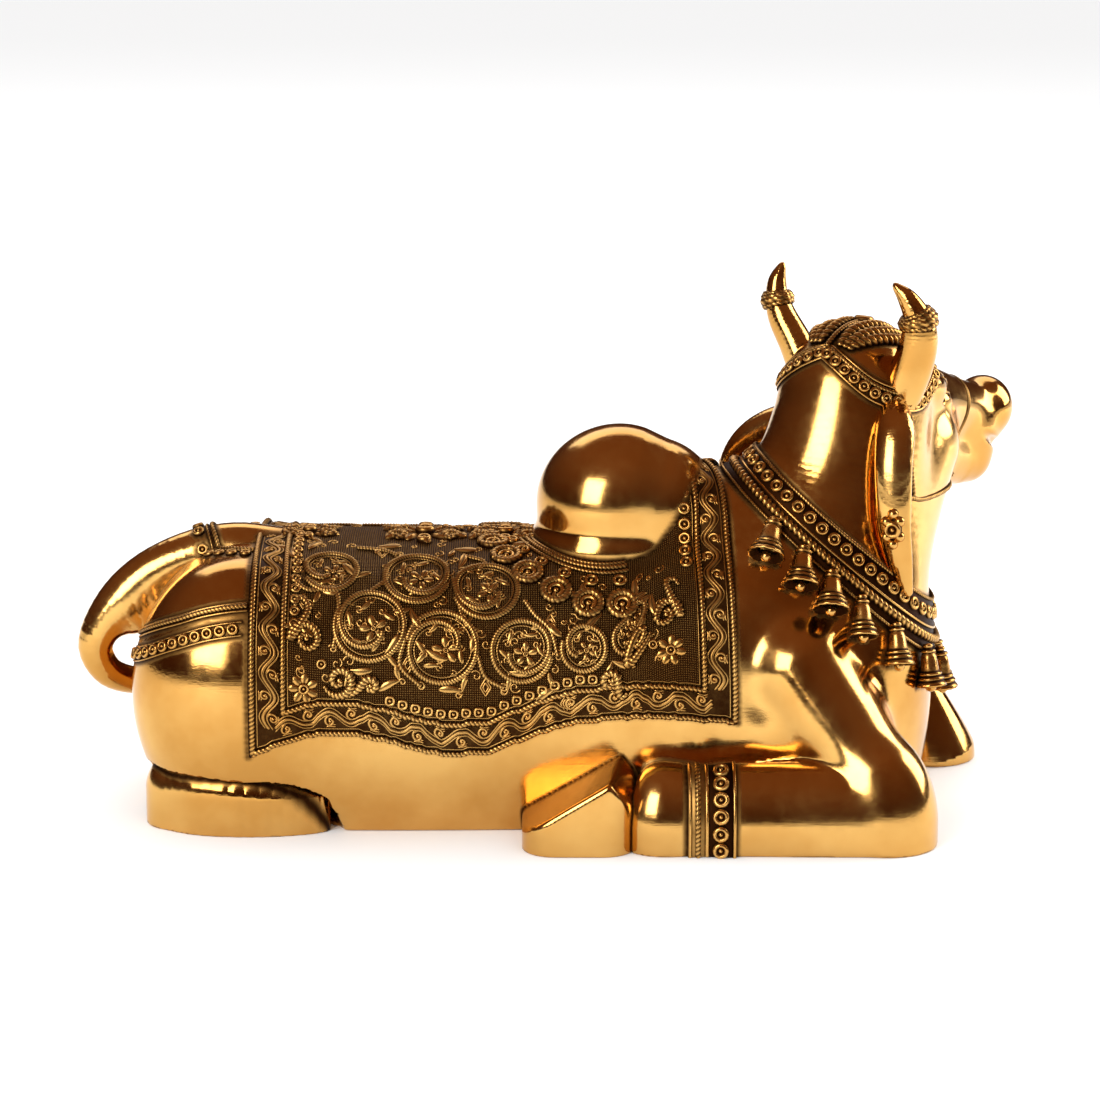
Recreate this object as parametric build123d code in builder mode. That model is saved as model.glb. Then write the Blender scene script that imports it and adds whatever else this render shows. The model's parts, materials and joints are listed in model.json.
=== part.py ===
"""A reclining brass bull, cast hollow, with its saddle, collar of bells and head dress as separate pieces.

Millimetres. +X is the way the bull faces, +Z is up, and the origin is under the middle of the whole figure,
on the surface that it stands on. The head turns to the bull's left, towards +Y.
"""

import math
import os

from build123d import *

# Driving dimensions
SHIFT_X = -1.0  # from the bull's own middle to the middle of the whole figure
MID_Y = -5.0  # the bull's plane of symmetry, which the turned head leaves
WALL = 5.0  # thickness of the hollow casting
CLOTH = 2.0  # thickness of the saddle cloth
RELIEF = 3.3  # height of ropes and bosses above the body
ROPE = 2.4  # width of a rope border
BORDER = 9.4  # from the cloth's edge to the inner rope
CAVITY_FLOOR_Z = -1.0  # the hollow runs out through the underside

# The torso's cross-sections: x, half width, height of the widest place, height of the back, half width at the foot
TORSO_SECTIONS = [
    (-167, 12, 36, 60, 9),
    (-163, 27, 38, 78, 23),
    (-153, 44, 44, 96, 38),
    (-130, 57, 52, 106, 46),
    (-95, 61, 56, 108, 46),
    (-40, 60, 58, 108, 45),
    (15, 58, 58, 110, 45),
    (60, 57, 60, 128, 44),
    (92, 55, 62, 125, 42),
    (122, 46, 58, 100, 34),
    (146, 28, 50, 76, 17),
    (153, 13, 46, 60, 7),
]

# The saddle cloth's outline seen from the side, (x, z), from the front top to the rear top
CLOTH_EDGE = [(74, 49), (45, 44), (15, 38), (-10, 34), (-35, 37), (-65, 43), (-90, 40), (-122, 33)]
CLOTH_TOP_Z = 160.0

HUMP_CENTRE = (21, 0, 121)
HUMP_RADIUS = 30.0

# The neck's centre line: x, y, z, half size across, half size fore and aft
NECK_STATIONS = [
    (96, 0, 78, 42, 50),
    (110, 0, 99, 36, 48),
    (114, 4, 124, 31, 41),
    (119, 10, 150, 28, 36),
    (121, 14, 168, 25, 30),
    (121, 16, 181, 19, 22),
]

# The head, from behind the horns to the nose: distance along the head, half width, half height, centre's drop
HEAD_STATIONS = [
    (-10, 17, 15, 4),
    (8, 24, 24, 8),
    (32, 23, 27, 14),
    (56, 18, 25, 15),
    (80, 14, 21, 14),
    (98, 13, 18, 11),
    (107, 9, 12, 9),
]
POLL = (121, 15, 181)
HEAD_YAW = 50.0
HEAD_PITCH = -21.5

COLLAR_CENTRE = (108, 0, 100)
COLLAR_SLOPE = 41.0  # how far the collar's plane leans down towards the chest
BELL_HEIGHT = 16.0
BELL_RADIUS = 6.2
BELL_COUNT = 14
BELL_LEAN = 0.32  # how far a bell's mouth stands out at the least, per unit of its height
BELL_LEAN_LIMIT = 2.4
BELL_GAP = 1.0  # from the rim of a bell to the body
BELL_ARC = 246.0  # how far the bells reach round the neck
BELL_STANDOFF = 6.5  # from the chest's surface to a bell's axis, at its top
REACH_STEP = 0.2  # how closely the chest's surface is found
BOSS_RADIUS = 2.5


def place(x, y, z):
    """A point given from the bull's own middle, in the part's frame."""
    return Vector(x + SHIFT_X, y + MID_Y, z)


def torso_outline(half, wide_at, top, foot, extra, floor):
    """The torso's cross-section in the sketch: a flat foot, bulging sides and a round back."""
    half, top, foot = half + extra, top + extra, foot + extra
    shoulder = (0.76 * half, wide_at + 0.68 * (top - wide_at))
    with BuildSketch(mode=Mode.PRIVATE) as outline:
        with BuildLine():
            Spline(
                (foot, floor),
                (half, wide_at),
                shoulder,
                (0, top),
                (-shoulder[0], shoulder[1]),
                (-half, wide_at),
                (-foot, floor),
            )
            Line((-foot, floor), (foot, floor))
        make_face()
    return outline.sketch


def torso(extra=0.0, floor=0.0, first=0, last=None):
    """The torso grown by extra all round, between two of its sections."""
    with BuildPart() as solid:
        for x, half, wide_at, top, foot in TORSO_SECTIONS[first:last]:
            here = Plane(origin=place(x, 0, 0), x_dir=(0, 1, 0), z_dir=(1, 0, 0))
            with BuildSketch(here):
                add(torso_outline(half, wide_at, top, foot, extra, floor))
        loft()
    return solid.part


def ellipse_loft(stations):
    """A loft through ellipses, each given by its plane and its two half sizes."""
    with BuildPart() as solid:
        for plane, across, along in stations:
            with BuildSketch(plane):
                Ellipse(across, along)
        loft()
    return solid.part


def limb(stations, across=(0, 1, 0)):
    """A limb along a line of stations (x, y, z, half size across, half size along), cut square to the line."""
    centres = [place(*s[:3]) for s in stations]
    planes = []
    for i, centre in enumerate(centres):
        before, after = centres[max(i - 1, 0)], centres[min(i + 1, len(centres) - 1)]
        heading = (after - before).normalized()
        side = (Vector(*across) - heading * heading.dot(Vector(*across))).normalized()
        planes.append(Plane(origin=centre, x_dir=side, z_dir=heading))
    return ellipse_loft([(p, s[3], s[4]) for p, s in zip(planes, stations)])


def neck(extra=0.0):
    """The neck grown by extra, from inside the shoulders to the back of the head."""
    return limb([(x, y, z, a + extra, b + extra) for x, y, z, a, b in NECK_STATIONS])


def head_axes():
    """The head's unit directions: forward to the nose, sideways to its left, and up."""
    yaw, pitch = math.radians(HEAD_YAW), math.radians(HEAD_PITCH)
    forward = Vector(math.cos(pitch) * math.cos(yaw), math.cos(pitch) * math.sin(yaw), math.sin(pitch))
    left = Vector(-math.sin(yaw), math.cos(yaw), 0)
    return forward, left, forward.cross(left)


FORWARD, LEFT, UP = head_axes()


def on_head(forward, left, up):
    """A point given along the head's own directions from the poll."""
    return place(*POLL) + FORWARD * forward + LEFT * left + UP * up


def head(extra=0.0):
    """The head grown by extra."""
    stations = []
    for along, half_wide, half_high, drop in HEAD_STATIONS:
        plane = Plane(origin=on_head(along, 0, -drop), x_dir=LEFT, z_dir=FORWARD)
        stations.append((plane, half_wide + extra, half_high + extra))
    return ellipse_loft(stations)


def slab(centre, normal, thickness, half_size=150.0):
    """A thick plate about a point, used to cut a band out of a shell."""
    normal = Vector(*normal).normalized()
    with BuildPart() as plate:
        with BuildSketch(Plane(origin=centre - normal * (thickness / 2), z_dir=normal)):
            Rectangle(2 * half_size, 2 * half_size)
        extrude(amount=thickness)
    return plate.part


def side_prism(inset):
    """Everything inside the cloth's outline seen from the side, drawn in by inset."""
    front, rear = CLOTH_EDGE[0], CLOTH_EDGE[-1]
    with BuildPart() as prism:
        with BuildSketch(Plane(origin=place(0, 0, 0), x_dir=(1, 0, 0), z_dir=(0, -1, 0))):
            with BuildLine():
                lower = [(x, z + inset) for x, z in CLOTH_EDGE]
                lower[0] = (front[0] - inset, lower[0][1])
                lower[-1] = (rear[0] + inset, lower[-1][1])
                Spline(*lower)
                Polyline(lower[-1], (lower[-1][0], CLOTH_TOP_Z), (lower[0][0], CLOTH_TOP_Z), lower[0])
            make_face()
        extrude(amount=110, both=True)
    return prism.part


def pegs_sideways(points, radius, inner=0.0, left_too=True):
    """Round pegs, or rings, that run across the body at the given (x, z) points."""
    with BuildPart() as pegs:
        for side in (-1, 1) if left_too else (-1,):
            with BuildSketch(Plane(origin=place(0, 0, 0), x_dir=(1, 0, 0), z_dir=(0, -1, 0))):
                with Locations(*points):
                    Circle(radius)
                if inner:
                    with Locations(*points):
                        Circle(inner, mode=Mode.SUBTRACT)
            extrude(amount=-110 * side)
    return pegs.part


def pegs_upward(points, radius, inner=0.0):
    """Round pegs, or rings, that run up through the back at the given (x, y) points."""
    with BuildPart() as pegs:
        with BuildSketch(Plane(origin=place(0, 0, 60))):
            with Locations(*points):
                Circle(radius)
            if inner:
                with Locations(*points):
                    Circle(inner, mode=Mode.SUBTRACT)
        extrude(amount=100)
    return pegs.part


os.makedirs("parts", exist_ok=True)

# Shared shapes that pieces are cut from
TORSO = torso()
NECK = neck() - TORSO
HEAD = head() - NECK - TORSO
SKIN_CLOTH = torso(CLOTH)
SKIN_RELIEF = torso(RELIEF)
HUMP = Pos(*place(*HUMP_CENTRE)) * Sphere(HUMP_RADIUS)
HUMP_COLLAR = Pos(*place(*HUMP_CENTRE)) * Sphere(HUMP_RADIUS + 2.8)


def relief(prisms, floor_skin=SKIN_CLOTH, clear_of=()):
    """The relief that the given prisms cut out of the layer between a skin and the relief's top."""
    cut = (SKIN_RELIEF & prisms) - floor_skin - HUMP
    for other in clear_of:
        cut = cut - other
    return cut


def keep(piece, name):
    """Label a finished piece and write it."""
    piece.part.label = name
    export_step(piece.part, f"parts/{name}.step")


# Castings ---------------------------------------------------------------------------------------------------------

# Torso: hollow, and open underneath
with BuildPart() as body_casting:
    add(TORSO)
    add(torso(-WALL, CAVITY_FLOOR_Z, 1, -1), mode=Mode.SUBTRACT)
keep(body_casting, "body_casting")

with BuildPart() as neck_casting:
    add(NECK)
keep(neck_casting, "neck_casting")

with BuildPart() as head_casting:
    add(HEAD)
keep(head_casting, "head_casting")

with BuildPart() as hump_dome:
    add(HUMP)
    add(TORSO, mode=Mode.SUBTRACT)
keep(hump_dome, "hump_dome")


def tail_shape():
    """The tail: out over the rump, down in a bow and back round behind it to a tuft on the far haunch."""
    return limb(
        [
            (-122, 0, 99, 11, 8),
            (-142, -1, 98, 10, 8.5),
            (-162, -4, 89, 8.5, 8.5),
            (-176, -7, 77, 7.5, 8),
            (-181, -8, 63, 7, 7.5),
            (-176, -5, 52, 6, 6.5),
            (-169, 3, 46.5, 5.5, 5.5),
            (-165, 16, 45.5, 5.5, 5.5),
            (-160, 30, 45.5, 6.5, 6.5),
            (-148, 46, 44, 8, 8),
            (-136, 56, 41, 5, 5),
        ]
    )


with BuildPart() as tail:
    add(tail_shape())
    add(TORSO, mode=Mode.SUBTRACT)
    # What lies inside the rump falls away, so only the outer piece stays
    outer = tail.solids().sort_by(SortBy.VOLUME)[-1]
with BuildPart() as tail:
    add(outer)
keep(tail, "tail")


# Legs -------------------------------------------------------------------------------------------------------------

SHANK_Y = -66.0  # the folded fore leg's centre line, out from the bull's middle
KNEE_X = 146.0
SEAM_X = 33.0  # where the hoof joins the fetlock
HOOF_TIP_X = -11.0
ANKLET_X = (53.0, 71.0)


def shank(extra=0.0):
    """The folded fore leg from the knee back to the hoof's seam, lying on the ground."""
    return limb(
        [
            (KNEE_X, SHANK_Y, 12, 9 + extra, 10 + extra),
            (136, SHANK_Y, 15, 15.5 + extra, 16 + extra),
            (112, SHANK_Y, 16, 16 + extra, 17 + extra),
            (85, SHANK_Y, 16, 14.5 + extra, 16 + extra),
            (60, SHANK_Y, 15.5, 14 + extra, 15 + extra),
            (SEAM_X, SHANK_Y, 15.5, 15.5 + extra, 15.5 + extra),
        ]
    )


with BuildPart() as right_foreleg:
    add(limb([(84, -36, 70, 22, 24), (106, -47, 53, 20, 22), (124, -57, 36, 17, 18), (136, -64, 20, 15, 16)]))
    add(shank())
    split(bisect_by=Plane.XY, keep=Keep.TOP)
    add(TORSO, mode=Mode.SUBTRACT)
    add(NECK, mode=Mode.SUBTRACT)
keep(right_foreleg, "right_foreleg")

with BuildPart() as right_fore_hoof:
    add(
        limb(
            [
                (SEAM_X, SHANK_Y, 15.5, 15, 15),
                (12, SHANK_Y - 1, 12, 15, 14),
                (-3, SHANK_Y - 2, 8, 12, 9),
                (HOOF_TIP_X, SHANK_Y - 2, 6, 7, 5),
            ]
        )
    )
    split(bisect_by=Plane.XY, keep=Keep.TOP)
    add(TORSO, mode=Mode.SUBTRACT)
keep(right_fore_hoof, "right_fore_hoof")

with BuildPart() as right_anklet:
    add(shank(1.8) & slab(place(sum(ANKLET_X) / 2, 0, 15), (1, 0, 0), ANKLET_X[1] - ANKLET_X[0]))
    split(bisect_by=Plane.XY, keep=Keep.TOP)
    add(shank(), mode=Mode.SUBTRACT)
    add(TORSO, mode=Mode.SUBTRACT)
keep(right_anklet, "right_anklet")

ANKLET_BOSSES = 9
with BuildPart() as right_anklet_bosses:
    for i in range(ANKLET_BOSSES):
        angle = math.radians(-205 + 230 * i / (ANKLET_BOSSES - 1))
        out = Vector(0, math.cos(angle), -math.sin(angle))
        seat = place(ANKLET_X[1] - 5, SHANK_Y, 15.5)
        with BuildSketch(Plane(origin=seat, z_dir=out)):
            Circle(2.6)
        extrude(amount=19.5)
    add(shank(1.8), mode=Mode.SUBTRACT)
    add(TORSO, mode=Mode.SUBTRACT)
    split(bisect_by=Plane.XY.offset(0.5), keep=Keep.TOP)
keep(right_anklet_bosses, "right_anklet_bosses")


def planted_leg():
    """The far fore leg: forearm forward, knee bent, the hoof planted in front of the chest."""
    return limb(
        [
            (88, 36, 64, 22, 24),
            (112, 44, 52, 17, 19),
            (132, 51, 44, 12.5, 13.5),
            (146, 54, 34, 10.0, 11),
            (152, 56, 20, 9.5, 10.5),
        ]
    )


with BuildPart() as left_foreleg:
    add(planted_leg())
    add(TORSO, mode=Mode.SUBTRACT)
    add(NECK, mode=Mode.SUBTRACT)
keep(left_foreleg, "left_foreleg")

with BuildPart() as left_fore_hoof:
    add(limb([(149, 55, 26, 10, 11), (154, 56, 14, 13.5, 15), (157, 57, 0, 17, 20)], across=(0, 1, 0)))
    split(bisect_by=Plane.XY, keep=Keep.TOP)
    add(planted_leg(), mode=Mode.SUBTRACT)
    add(TORSO, mode=Mode.SUBTRACT)
keep(left_fore_hoof, "left_fore_hoof")

with BuildPart() as left_anklet:
    add(limb([(140, 53, 41, 14, 15), (146, 54, 32, 12.5, 13.5)]))
    add(planted_leg(), mode=Mode.SUBTRACT)
    add(TORSO, mode=Mode.SUBTRACT)
keep(left_anklet, "left_anklet")


def hind_foot(side):
    """A hind foot tucked forward along the flank, blunt behind and pointed in front."""
    return limb(
        [
            (-158, side * 42, 20, 7, 8),
            (-148, side * 48, 22, 12, 14),
            (-128, side * 52, 21, 13, 14),
            (-108, side * 53, 18, 9, 9),
            (-96, side * 51, 16, 4, 4),
        ]
    )


with BuildPart() as right_hind_foot:
    add(hind_foot(-1))
    add(TORSO, mode=Mode.SUBTRACT)
    right_toe = right_hind_foot.solids().sort_by(Axis.Y)[0]
with BuildPart() as right_hind_foot:
    add(right_toe)
keep(right_hind_foot, "right_hind_foot")

with BuildPart() as left_hind_foot:
    add(hind_foot(1))
    add(TORSO, mode=Mode.SUBTRACT)
    add(tail_shape(), mode=Mode.SUBTRACT)
    left_toe = left_hind_foot.solids().sort_by(Axis.Y)[-1]
with BuildPart() as left_hind_foot:
    add(left_toe)
keep(left_hind_foot, "left_hind_foot")


# Head -------------------------------------------------------------------------------------------------------------


def on_side(side, x, y, z):
    """A point at the bull's right side of the head, or its mirror image on the left side for side = 1."""
    away = Vector(x, y, z) - Vector(*POLL)
    if side > 0:
        away = away - LEFT * (2 * away.dot(LEFT))
    point = Vector(*POLL) + away
    return point.X, point.Y, point.Z


RIGHT_HORN = [
    (138, -2, 168, 9, 9),
    (142, -6, 182, 8.4, 8.4),
    (144, -8, 194, 7.6, 7.6),
    (142, -8.5, 203, 5.6, 5.6),
    (137.5, -8, 211.5, 2.0, 2.0),
]
HORN_RING_AT = (144.2, -8, 196.5)
RIGHT_EAR = [
    (131, -9, 164, 5, 8),
    (129.5, -23, 155, 5, 11),
    (128, -31, 138, 4.5, 12),
    (128.5, -33, 118, 4, 11),
    (132, -32, 102, 3, 8),
    (136, -31, 91, 1.6, 3),
]

HORNS = {}
EARS = {}
for side, name in ((-1, "right"), (1, "left")):
    HORNS[name] = limb([(*on_side(side, *s[:3]), *s[3:]) for s in RIGHT_HORN])
    EARS[name] = limb([(*on_side(side, *s[:3]), *s[3:]) for s in RIGHT_EAR]) - HEAD - NECK - TORSO

for side, name in ((-1, "right"), (1, "left")):
    with BuildPart() as horn:
        add(HORNS[name])
        add(HEAD, mode=Mode.SUBTRACT)
        add(NECK, mode=Mode.SUBTRACT)
        tip = horn.solids().sort_by(Axis.Z)[-1]
    with BuildPart() as horn:
        add(tip)
    keep(horn, f"{name}_horn")

    with BuildPart() as ear:
        add(EARS[name].solids().sort_by(SortBy.VOLUME)[-1])
    keep(ear, f"{name}_ear")

    with BuildPart() as horn_rings:
        for step in (-1.35, 1.35):
            ring = place(*on_side(side, *HORN_RING_AT)) + Vector(0, 0, step)
            with BuildSketch(Plane(origin=ring + Vector(0, 0, -1.2))):
                Circle(9.4)
            extrude(amount=2.4)
        add(HORNS[name], mode=Mode.SUBTRACT)
    keep(horn_rings, f"{name}_horn_rings")

    with BuildPart() as pendant:
        centre = Vector(*place(*on_side(side, 131, -39.5, 113)))
        with BuildSketch(Plane.XZ.offset(-centre.Y)):
            with Locations((centre.X, centre.Z)):
                with PolarLocations(3.6, 5):
                    Circle(2.0)
                Circle(2.0)
        extrude(amount=2.0, both=True)
        add(EARS[name], mode=Mode.SUBTRACT)
    keep(pendant, f"{name}_ear_pendant")

with BuildPart() as poll_ornament:
    with BuildSketch(Plane(origin=on_head(2, 0, 0), x_dir=FORWARD, z_dir=UP)):
        Ellipse(12, 14)
    extrude(amount=40)
    add(head(3.0), mode=Mode.INTERSECT)
    add(HEAD, mode=Mode.SUBTRACT)
    add(NECK, mode=Mode.SUBTRACT)
    for horn_shape in HORNS.values():
        add(horn_shape, mode=Mode.SUBTRACT)
keep(poll_ornament, "poll_ornament")

BAND_Z = 166.0
HEAD_CORE = [HEAD, NECK, *HORNS.values(), *EARS.values()]


def head_shell(extra):
    """The head and the top of the neck grown together."""
    return head(extra) + neck(extra)


with BuildPart() as head_band:
    add(head_shell(1.6))
    add(slab(place(121, 10, BAND_Z), (0, 0, 1), 6.0), mode=Mode.INTERSECT)
    for shape in HEAD_CORE:
        add(shape, mode=Mode.SUBTRACT)
keep(head_band, "head_band")

HEAD_BAND_BOSSES = 26
with BuildPart() as head_band_bosses:
    for i in range(HEAD_BAND_BOSSES):
        angle = math.radians(360 * i / HEAD_BAND_BOSSES)
        out = Vector(math.cos(angle), math.sin(angle), 0)
        with BuildSketch(Plane(origin=place(121, 12, BAND_Z) + out * 8, z_dir=out)):
            Circle(2.2)
        extrude(amount=50)
    add(head_shell(3.0), mode=Mode.INTERSECT)
    add(head_shell(1.6), mode=Mode.SUBTRACT)
    for shape in HEAD_CORE[2:]:
        add(shape, mode=Mode.SUBTRACT)
keep(head_band_bosses, "head_band_bosses")

with BuildPart() as nose_band:
    add(head(1.6))
    add(slab(on_head(66, 0, 0), FORWARD, 3.0), mode=Mode.INTERSECT)
    add(HEAD, mode=Mode.SUBTRACT)
keep(nose_band, "nose_band")

with BuildPart() as cheek_straps:
    add(head(1.4))
    add(slab(on_head(48, 0, 0), FORWARD, 30.0), mode=Mode.INTERSECT)
    add(slab(on_head(48, 0, -14), UP, 3.0), mode=Mode.INTERSECT)
    for shape in (HEAD, NECK, TORSO):
        add(shape, mode=Mode.SUBTRACT)
keep(cheek_straps, "cheek_straps")


# Collar and bells -------------------------------------------------------------------------------------------------

SLOPE = math.radians(COLLAR_SLOPE)
COLLAR_UP = Vector(math.sin(SLOPE), 0, math.cos(SLOPE))
COLLAR_FRONT = Vector(math.cos(SLOPE), 0, -math.sin(SLOPE))
COLLAR_SIDE = Vector(0, 1, 0)
COLLAR_MIDDLE = place(*COLLAR_CENTRE)
COLLAR_CORE = [NECK, TORSO]


def collar_layer(inner, outer, rise, width):
    """A ring round the neck and chest, between two growths of their surface, rise above the collar's plane."""
    outside = neck(outer) + torso(outer)
    ring = outside & slab(COLLAR_MIDDLE + COLLAR_UP * rise, COLLAR_UP, width)
    for shape in COLLAR_CORE if inner == 0 else (neck(inner), torso(inner)):
        ring = ring - shape
    return ring - EARS["right"] - EARS["left"] - HEAD


with BuildPart() as collar_band:
    add(collar_layer(0, 2.0, 6.0, 9.0).solids().sort_by(SortBy.VOLUME)[-1])
keep(collar_band, "collar_band")

with BuildPart() as collar_rope:
    add(collar_layer(0, 3.0, -0.5, 3.8).solids().sort_by(SortBy.VOLUME)[-1])
keep(collar_rope, "collar_rope")

COLLAR_BOSSES = 40
with BuildPart() as collar_bosses:
    for i in range(COLLAR_BOSSES):
        angle = 2 * math.pi * i / COLLAR_BOSSES
        out = COLLAR_FRONT * math.cos(angle) + COLLAR_SIDE * math.sin(angle)
        with BuildSketch(Plane(origin=COLLAR_MIDDLE + COLLAR_UP * 7.5 + out * 15, z_dir=out)):
            Circle(BOSS_RADIUS)
        extrude(amount=60)
    add(collar_layer(2.0, 3.8, 7.5, 6.0), mode=Mode.INTERSECT)
keep(collar_bosses, "collar_bosses")


def surface_reach(out):
    """How far the neck and chest reach from the collar's middle in one direction of its plane, by halving."""
    solids = [shape.solid() for shape in COLLAR_CORE]
    inside, outside = 10.0, 90.0
    while outside - inside > REACH_STEP:
        middle = (inside + outside) / 2
        if any(solid.is_inside(COLLAR_MIDDLE + out * middle) for solid in solids):
            inside = middle
        else:
            outside = middle
    return inside


def bell_places():
    """Where each bell's top is, and the way out from the neck there, spaced evenly round the front."""
    for i in range(BELL_COUNT):
        angle = math.radians(BELL_ARC * (i / (BELL_COUNT - 1) - 0.5))
        out = COLLAR_FRONT * math.cos(angle) + COLLAR_SIDE * math.sin(angle)
        yield COLLAR_MIDDLE + out * (surface_reach(out) + BELL_STANDOFF), out


BELL_PLACES = list(bell_places())


def bell_plane(top, out):
    """A bell's own plane, standing at its top with its axis upward, leaning until its rim clears the body."""
    level = Vector(out.X, out.Y, 0).normalized()
    lean = BELL_LEAN
    while True:
        up = (Vector(0, 0, 1) - level * lean).normalized()
        away = (level + Vector(0, 0, lean)).normalized()
        origin = top - up * 3.0
        rim = origin - up * BELL_HEIGHT - away * (BELL_RADIUS + BELL_GAP)
        if lean > BELL_LEAN_LIMIT or not any(shape.solid().is_inside(rim) for shape in COLLAR_CORE):
            return Plane(origin=origin, z_dir=up)
        lean += 0.08


def bell(height, radius):
    """A bell hanging from the origin: top knob, flaring body, a bead ring and a wide rim round a shallow mouth."""
    with BuildPart(mode=Mode.PRIVATE) as piece:
        with Locations((0, 0, -0.42 * height)):
            Cone(0.74 * radius, 0.3 * radius, 0.5 * height)
        with Locations((0, 0, -0.1 * height)):
            Cylinder(1.7, 0.2 * height)
        with Locations((0, 0, -0.7 * height)):
            Cylinder(0.86 * radius, 0.1 * height)
        with Locations((0, 0, -0.8 * height)):
            Cylinder(0.74 * radius, 0.12 * height)
        with Locations((0, 0, -0.92 * height)):
            Cylinder(radius, 0.16 * height)
        with Locations((0, 0, -0.95 * height)):
            Cylinder(0.7 * radius, 0.12 * height, mode=Mode.SUBTRACT)
    return piece.part


ONE_BELL = bell(BELL_HEIGHT, BELL_RADIUS)
CLAPPER_DROP = 0.89 * BELL_HEIGHT + 1.7


def hung_bell(top, out):
    """A bell in its place, cut back where it meets its neighbours."""
    piece = bell_plane(top, out) * ONE_BELL
    for shape in (collar_rope.part, TORSO, NECK, right_foreleg.part, left_foreleg.part):
        piece = piece - shape
    return max(piece.solids(), key=lambda solid: solid.volume)


HUNG_BELLS = [hung_bell(top, out) for top, out in BELL_PLACES]

with BuildPart() as collar_bells:
    for piece in HUNG_BELLS:
        add(piece)
keep(collar_bells, "collar_bells")

with BuildPart() as collar_bell_clappers:
    for top, out in BELL_PLACES:
        with Locations(bell_plane(top, out) * Pos(0, 0, -CLAPPER_DROP)):
            Cylinder(2.1, 3.4)
    for shape in (TORSO, NECK, right_foreleg.part, left_foreleg.part):
        add(shape, mode=Mode.SUBTRACT)
keep(collar_bell_clappers, "collar_bell_clappers")


# Saddle -----------------------------------------------------------------------------------------------------------

OTHERS = [NECK, collar_band.part, collar_rope.part, collar_bells.part, right_foreleg.part, left_foreleg.part]
OUTLINE = side_prism(0)
INSIDE_ROPE = side_prism(ROPE)
INSIDE_VINE = side_prism(BORDER)
INSIDE_BORDER = side_prism(BORDER + 1.8)

with BuildPart() as saddle_cloth:
    add((SKIN_CLOTH & INSIDE_ROPE) - TORSO - HUMP)
    for shape in OTHERS:
        add(shape, mode=Mode.SUBTRACT)
keep(saddle_cloth, "saddle_cloth")

with BuildPart() as saddle_outer_rope:
    add((SKIN_RELIEF & OUTLINE) - INSIDE_ROPE - TORSO - HUMP)
    for shape in OTHERS:
        add(shape, mode=Mode.SUBTRACT)
keep(saddle_outer_rope, "saddle_outer_rope")

with BuildPart() as saddle_vine:
    add((torso(CLOTH + 0.8) & side_prism(ROPE + 1.2)) - side_prism(BORDER - 1.0) - SKIN_CLOTH - HUMP)
    for shape in OTHERS:
        add(shape, mode=Mode.SUBTRACT)
keep(saddle_vine, "saddle_vine")

with BuildPart() as saddle_inner_rope:
    add(relief(INSIDE_VINE - INSIDE_BORDER))
    for shape in OTHERS:
        add(shape, mode=Mode.SUBTRACT)
keep(saddle_inner_rope, "saddle_inner_rope")

# Boss rows: a column near each end of the cloth and a row along the bottom
REAR_BOSSES = [(CLOTH_EDGE[-1][0] + BORDER + 5.2, z) for z in range(52, 100, 6)]
FRONT_BOSSES = [(CLOTH_EDGE[0][0] - BORDER - 5.2, z) for z in range(66, 116, 7)]
LOW_BOSSES = [(x, 60.0 - 5.5 * math.sin((x + 78) / 52)) for x in range(-78, 34, 6)]
with BuildPart() as saddle_bosses:
    add(relief(pegs_sideways(REAR_BOSSES + FRONT_BOSSES + LOW_BOSSES, BOSS_RADIUS), clear_of=OTHERS[:1]))
keep(saddle_bosses, "saddle_bosses")

SCROLLS = [(-90, 78), (-66, 86), (-44, 74), (-18, 84), (-14, 70)]
with BuildPart() as saddle_scrolls:
    add(relief(pegs_sideways(SCROLLS, 10.5, 9.0)))
keep(saddle_scrolls, "saddle_scrolls")

with BuildPart() as saddle_corner_scrolls:
    add(relief(pegs_sideways([(-101, 56), (-92, 57), (52, 66), (45, 62)], 4.0, 2.4), clear_of=OTHERS[:1]))
keep(saddle_corner_scrolls, "saddle_corner_scrolls")

ROSETTES = [(-96, 0), (-76, 0), (-56, 0), (-32, 0)]
with BuildPart() as spine_rosettes:
    add(relief(pegs_upward(ROSETTES, 7.5)))
keep(spine_rosettes, "spine_rosettes")


# Hump garland -----------------------------------------------------------------------------------------------------

with BuildPart() as hump_rope_ring:
    add(HUMP_COLLAR & SKIN_RELIEF)
    for shape in (SKIN_CLOTH, HUMP, NECK):
        add(shape, mode=Mode.SUBTRACT)
keep(hump_rope_ring, "hump_rope_ring")


def garland(reach, count, spread):
    """Points (x, z) hung evenly in a bow round the hump's foot, seen from the side."""
    x0, _, z0 = HUMP_CENTRE
    for i in range(count):
        angle = math.radians(-90 - spread / 2 + spread * i / (count - 1))
        yield x0 + reach * math.cos(angle), z0 + 0.93 * reach * math.sin(angle)


with BuildPart() as hump_ring_bosses:
    add(relief(pegs_sideways(list(garland(36.5, 9, 84)), 2.2), clear_of=[hump_rope_ring.part]))
keep(hump_ring_bosses, "hump_ring_bosses")

with BuildPart() as hump_pendants:
    add(relief(pegs_sideways(list(garland(46.5, 7, 86)), 6.0, 2.2), clear_of=[hump_ring_bosses.part]))
keep(hump_pendants, "hump_pendants")


# Rump harness -----------------------------------------------------------------------------------------------------

TAIL = tail.part
STRAP_CENTRE = (-150, 0, 68)
STRAP_LEAN = (0.1, 0, 1)

with BuildPart() as breeching_strap:
    add(torso(CLOTH) & slab(place(*STRAP_CENTRE), STRAP_LEAN, 9.0))
    with BuildSketch(Plane(origin=place(-126.3, -100, 0), z_dir=(1, 0, 0))):
        Rectangle(400, 400)
    extrude(amount=400, mode=Mode.SUBTRACT)
    add(TORSO, mode=Mode.SUBTRACT)
    add(TAIL, mode=Mode.SUBTRACT)
keep(breeching_strap, "breeching_strap")

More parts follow.
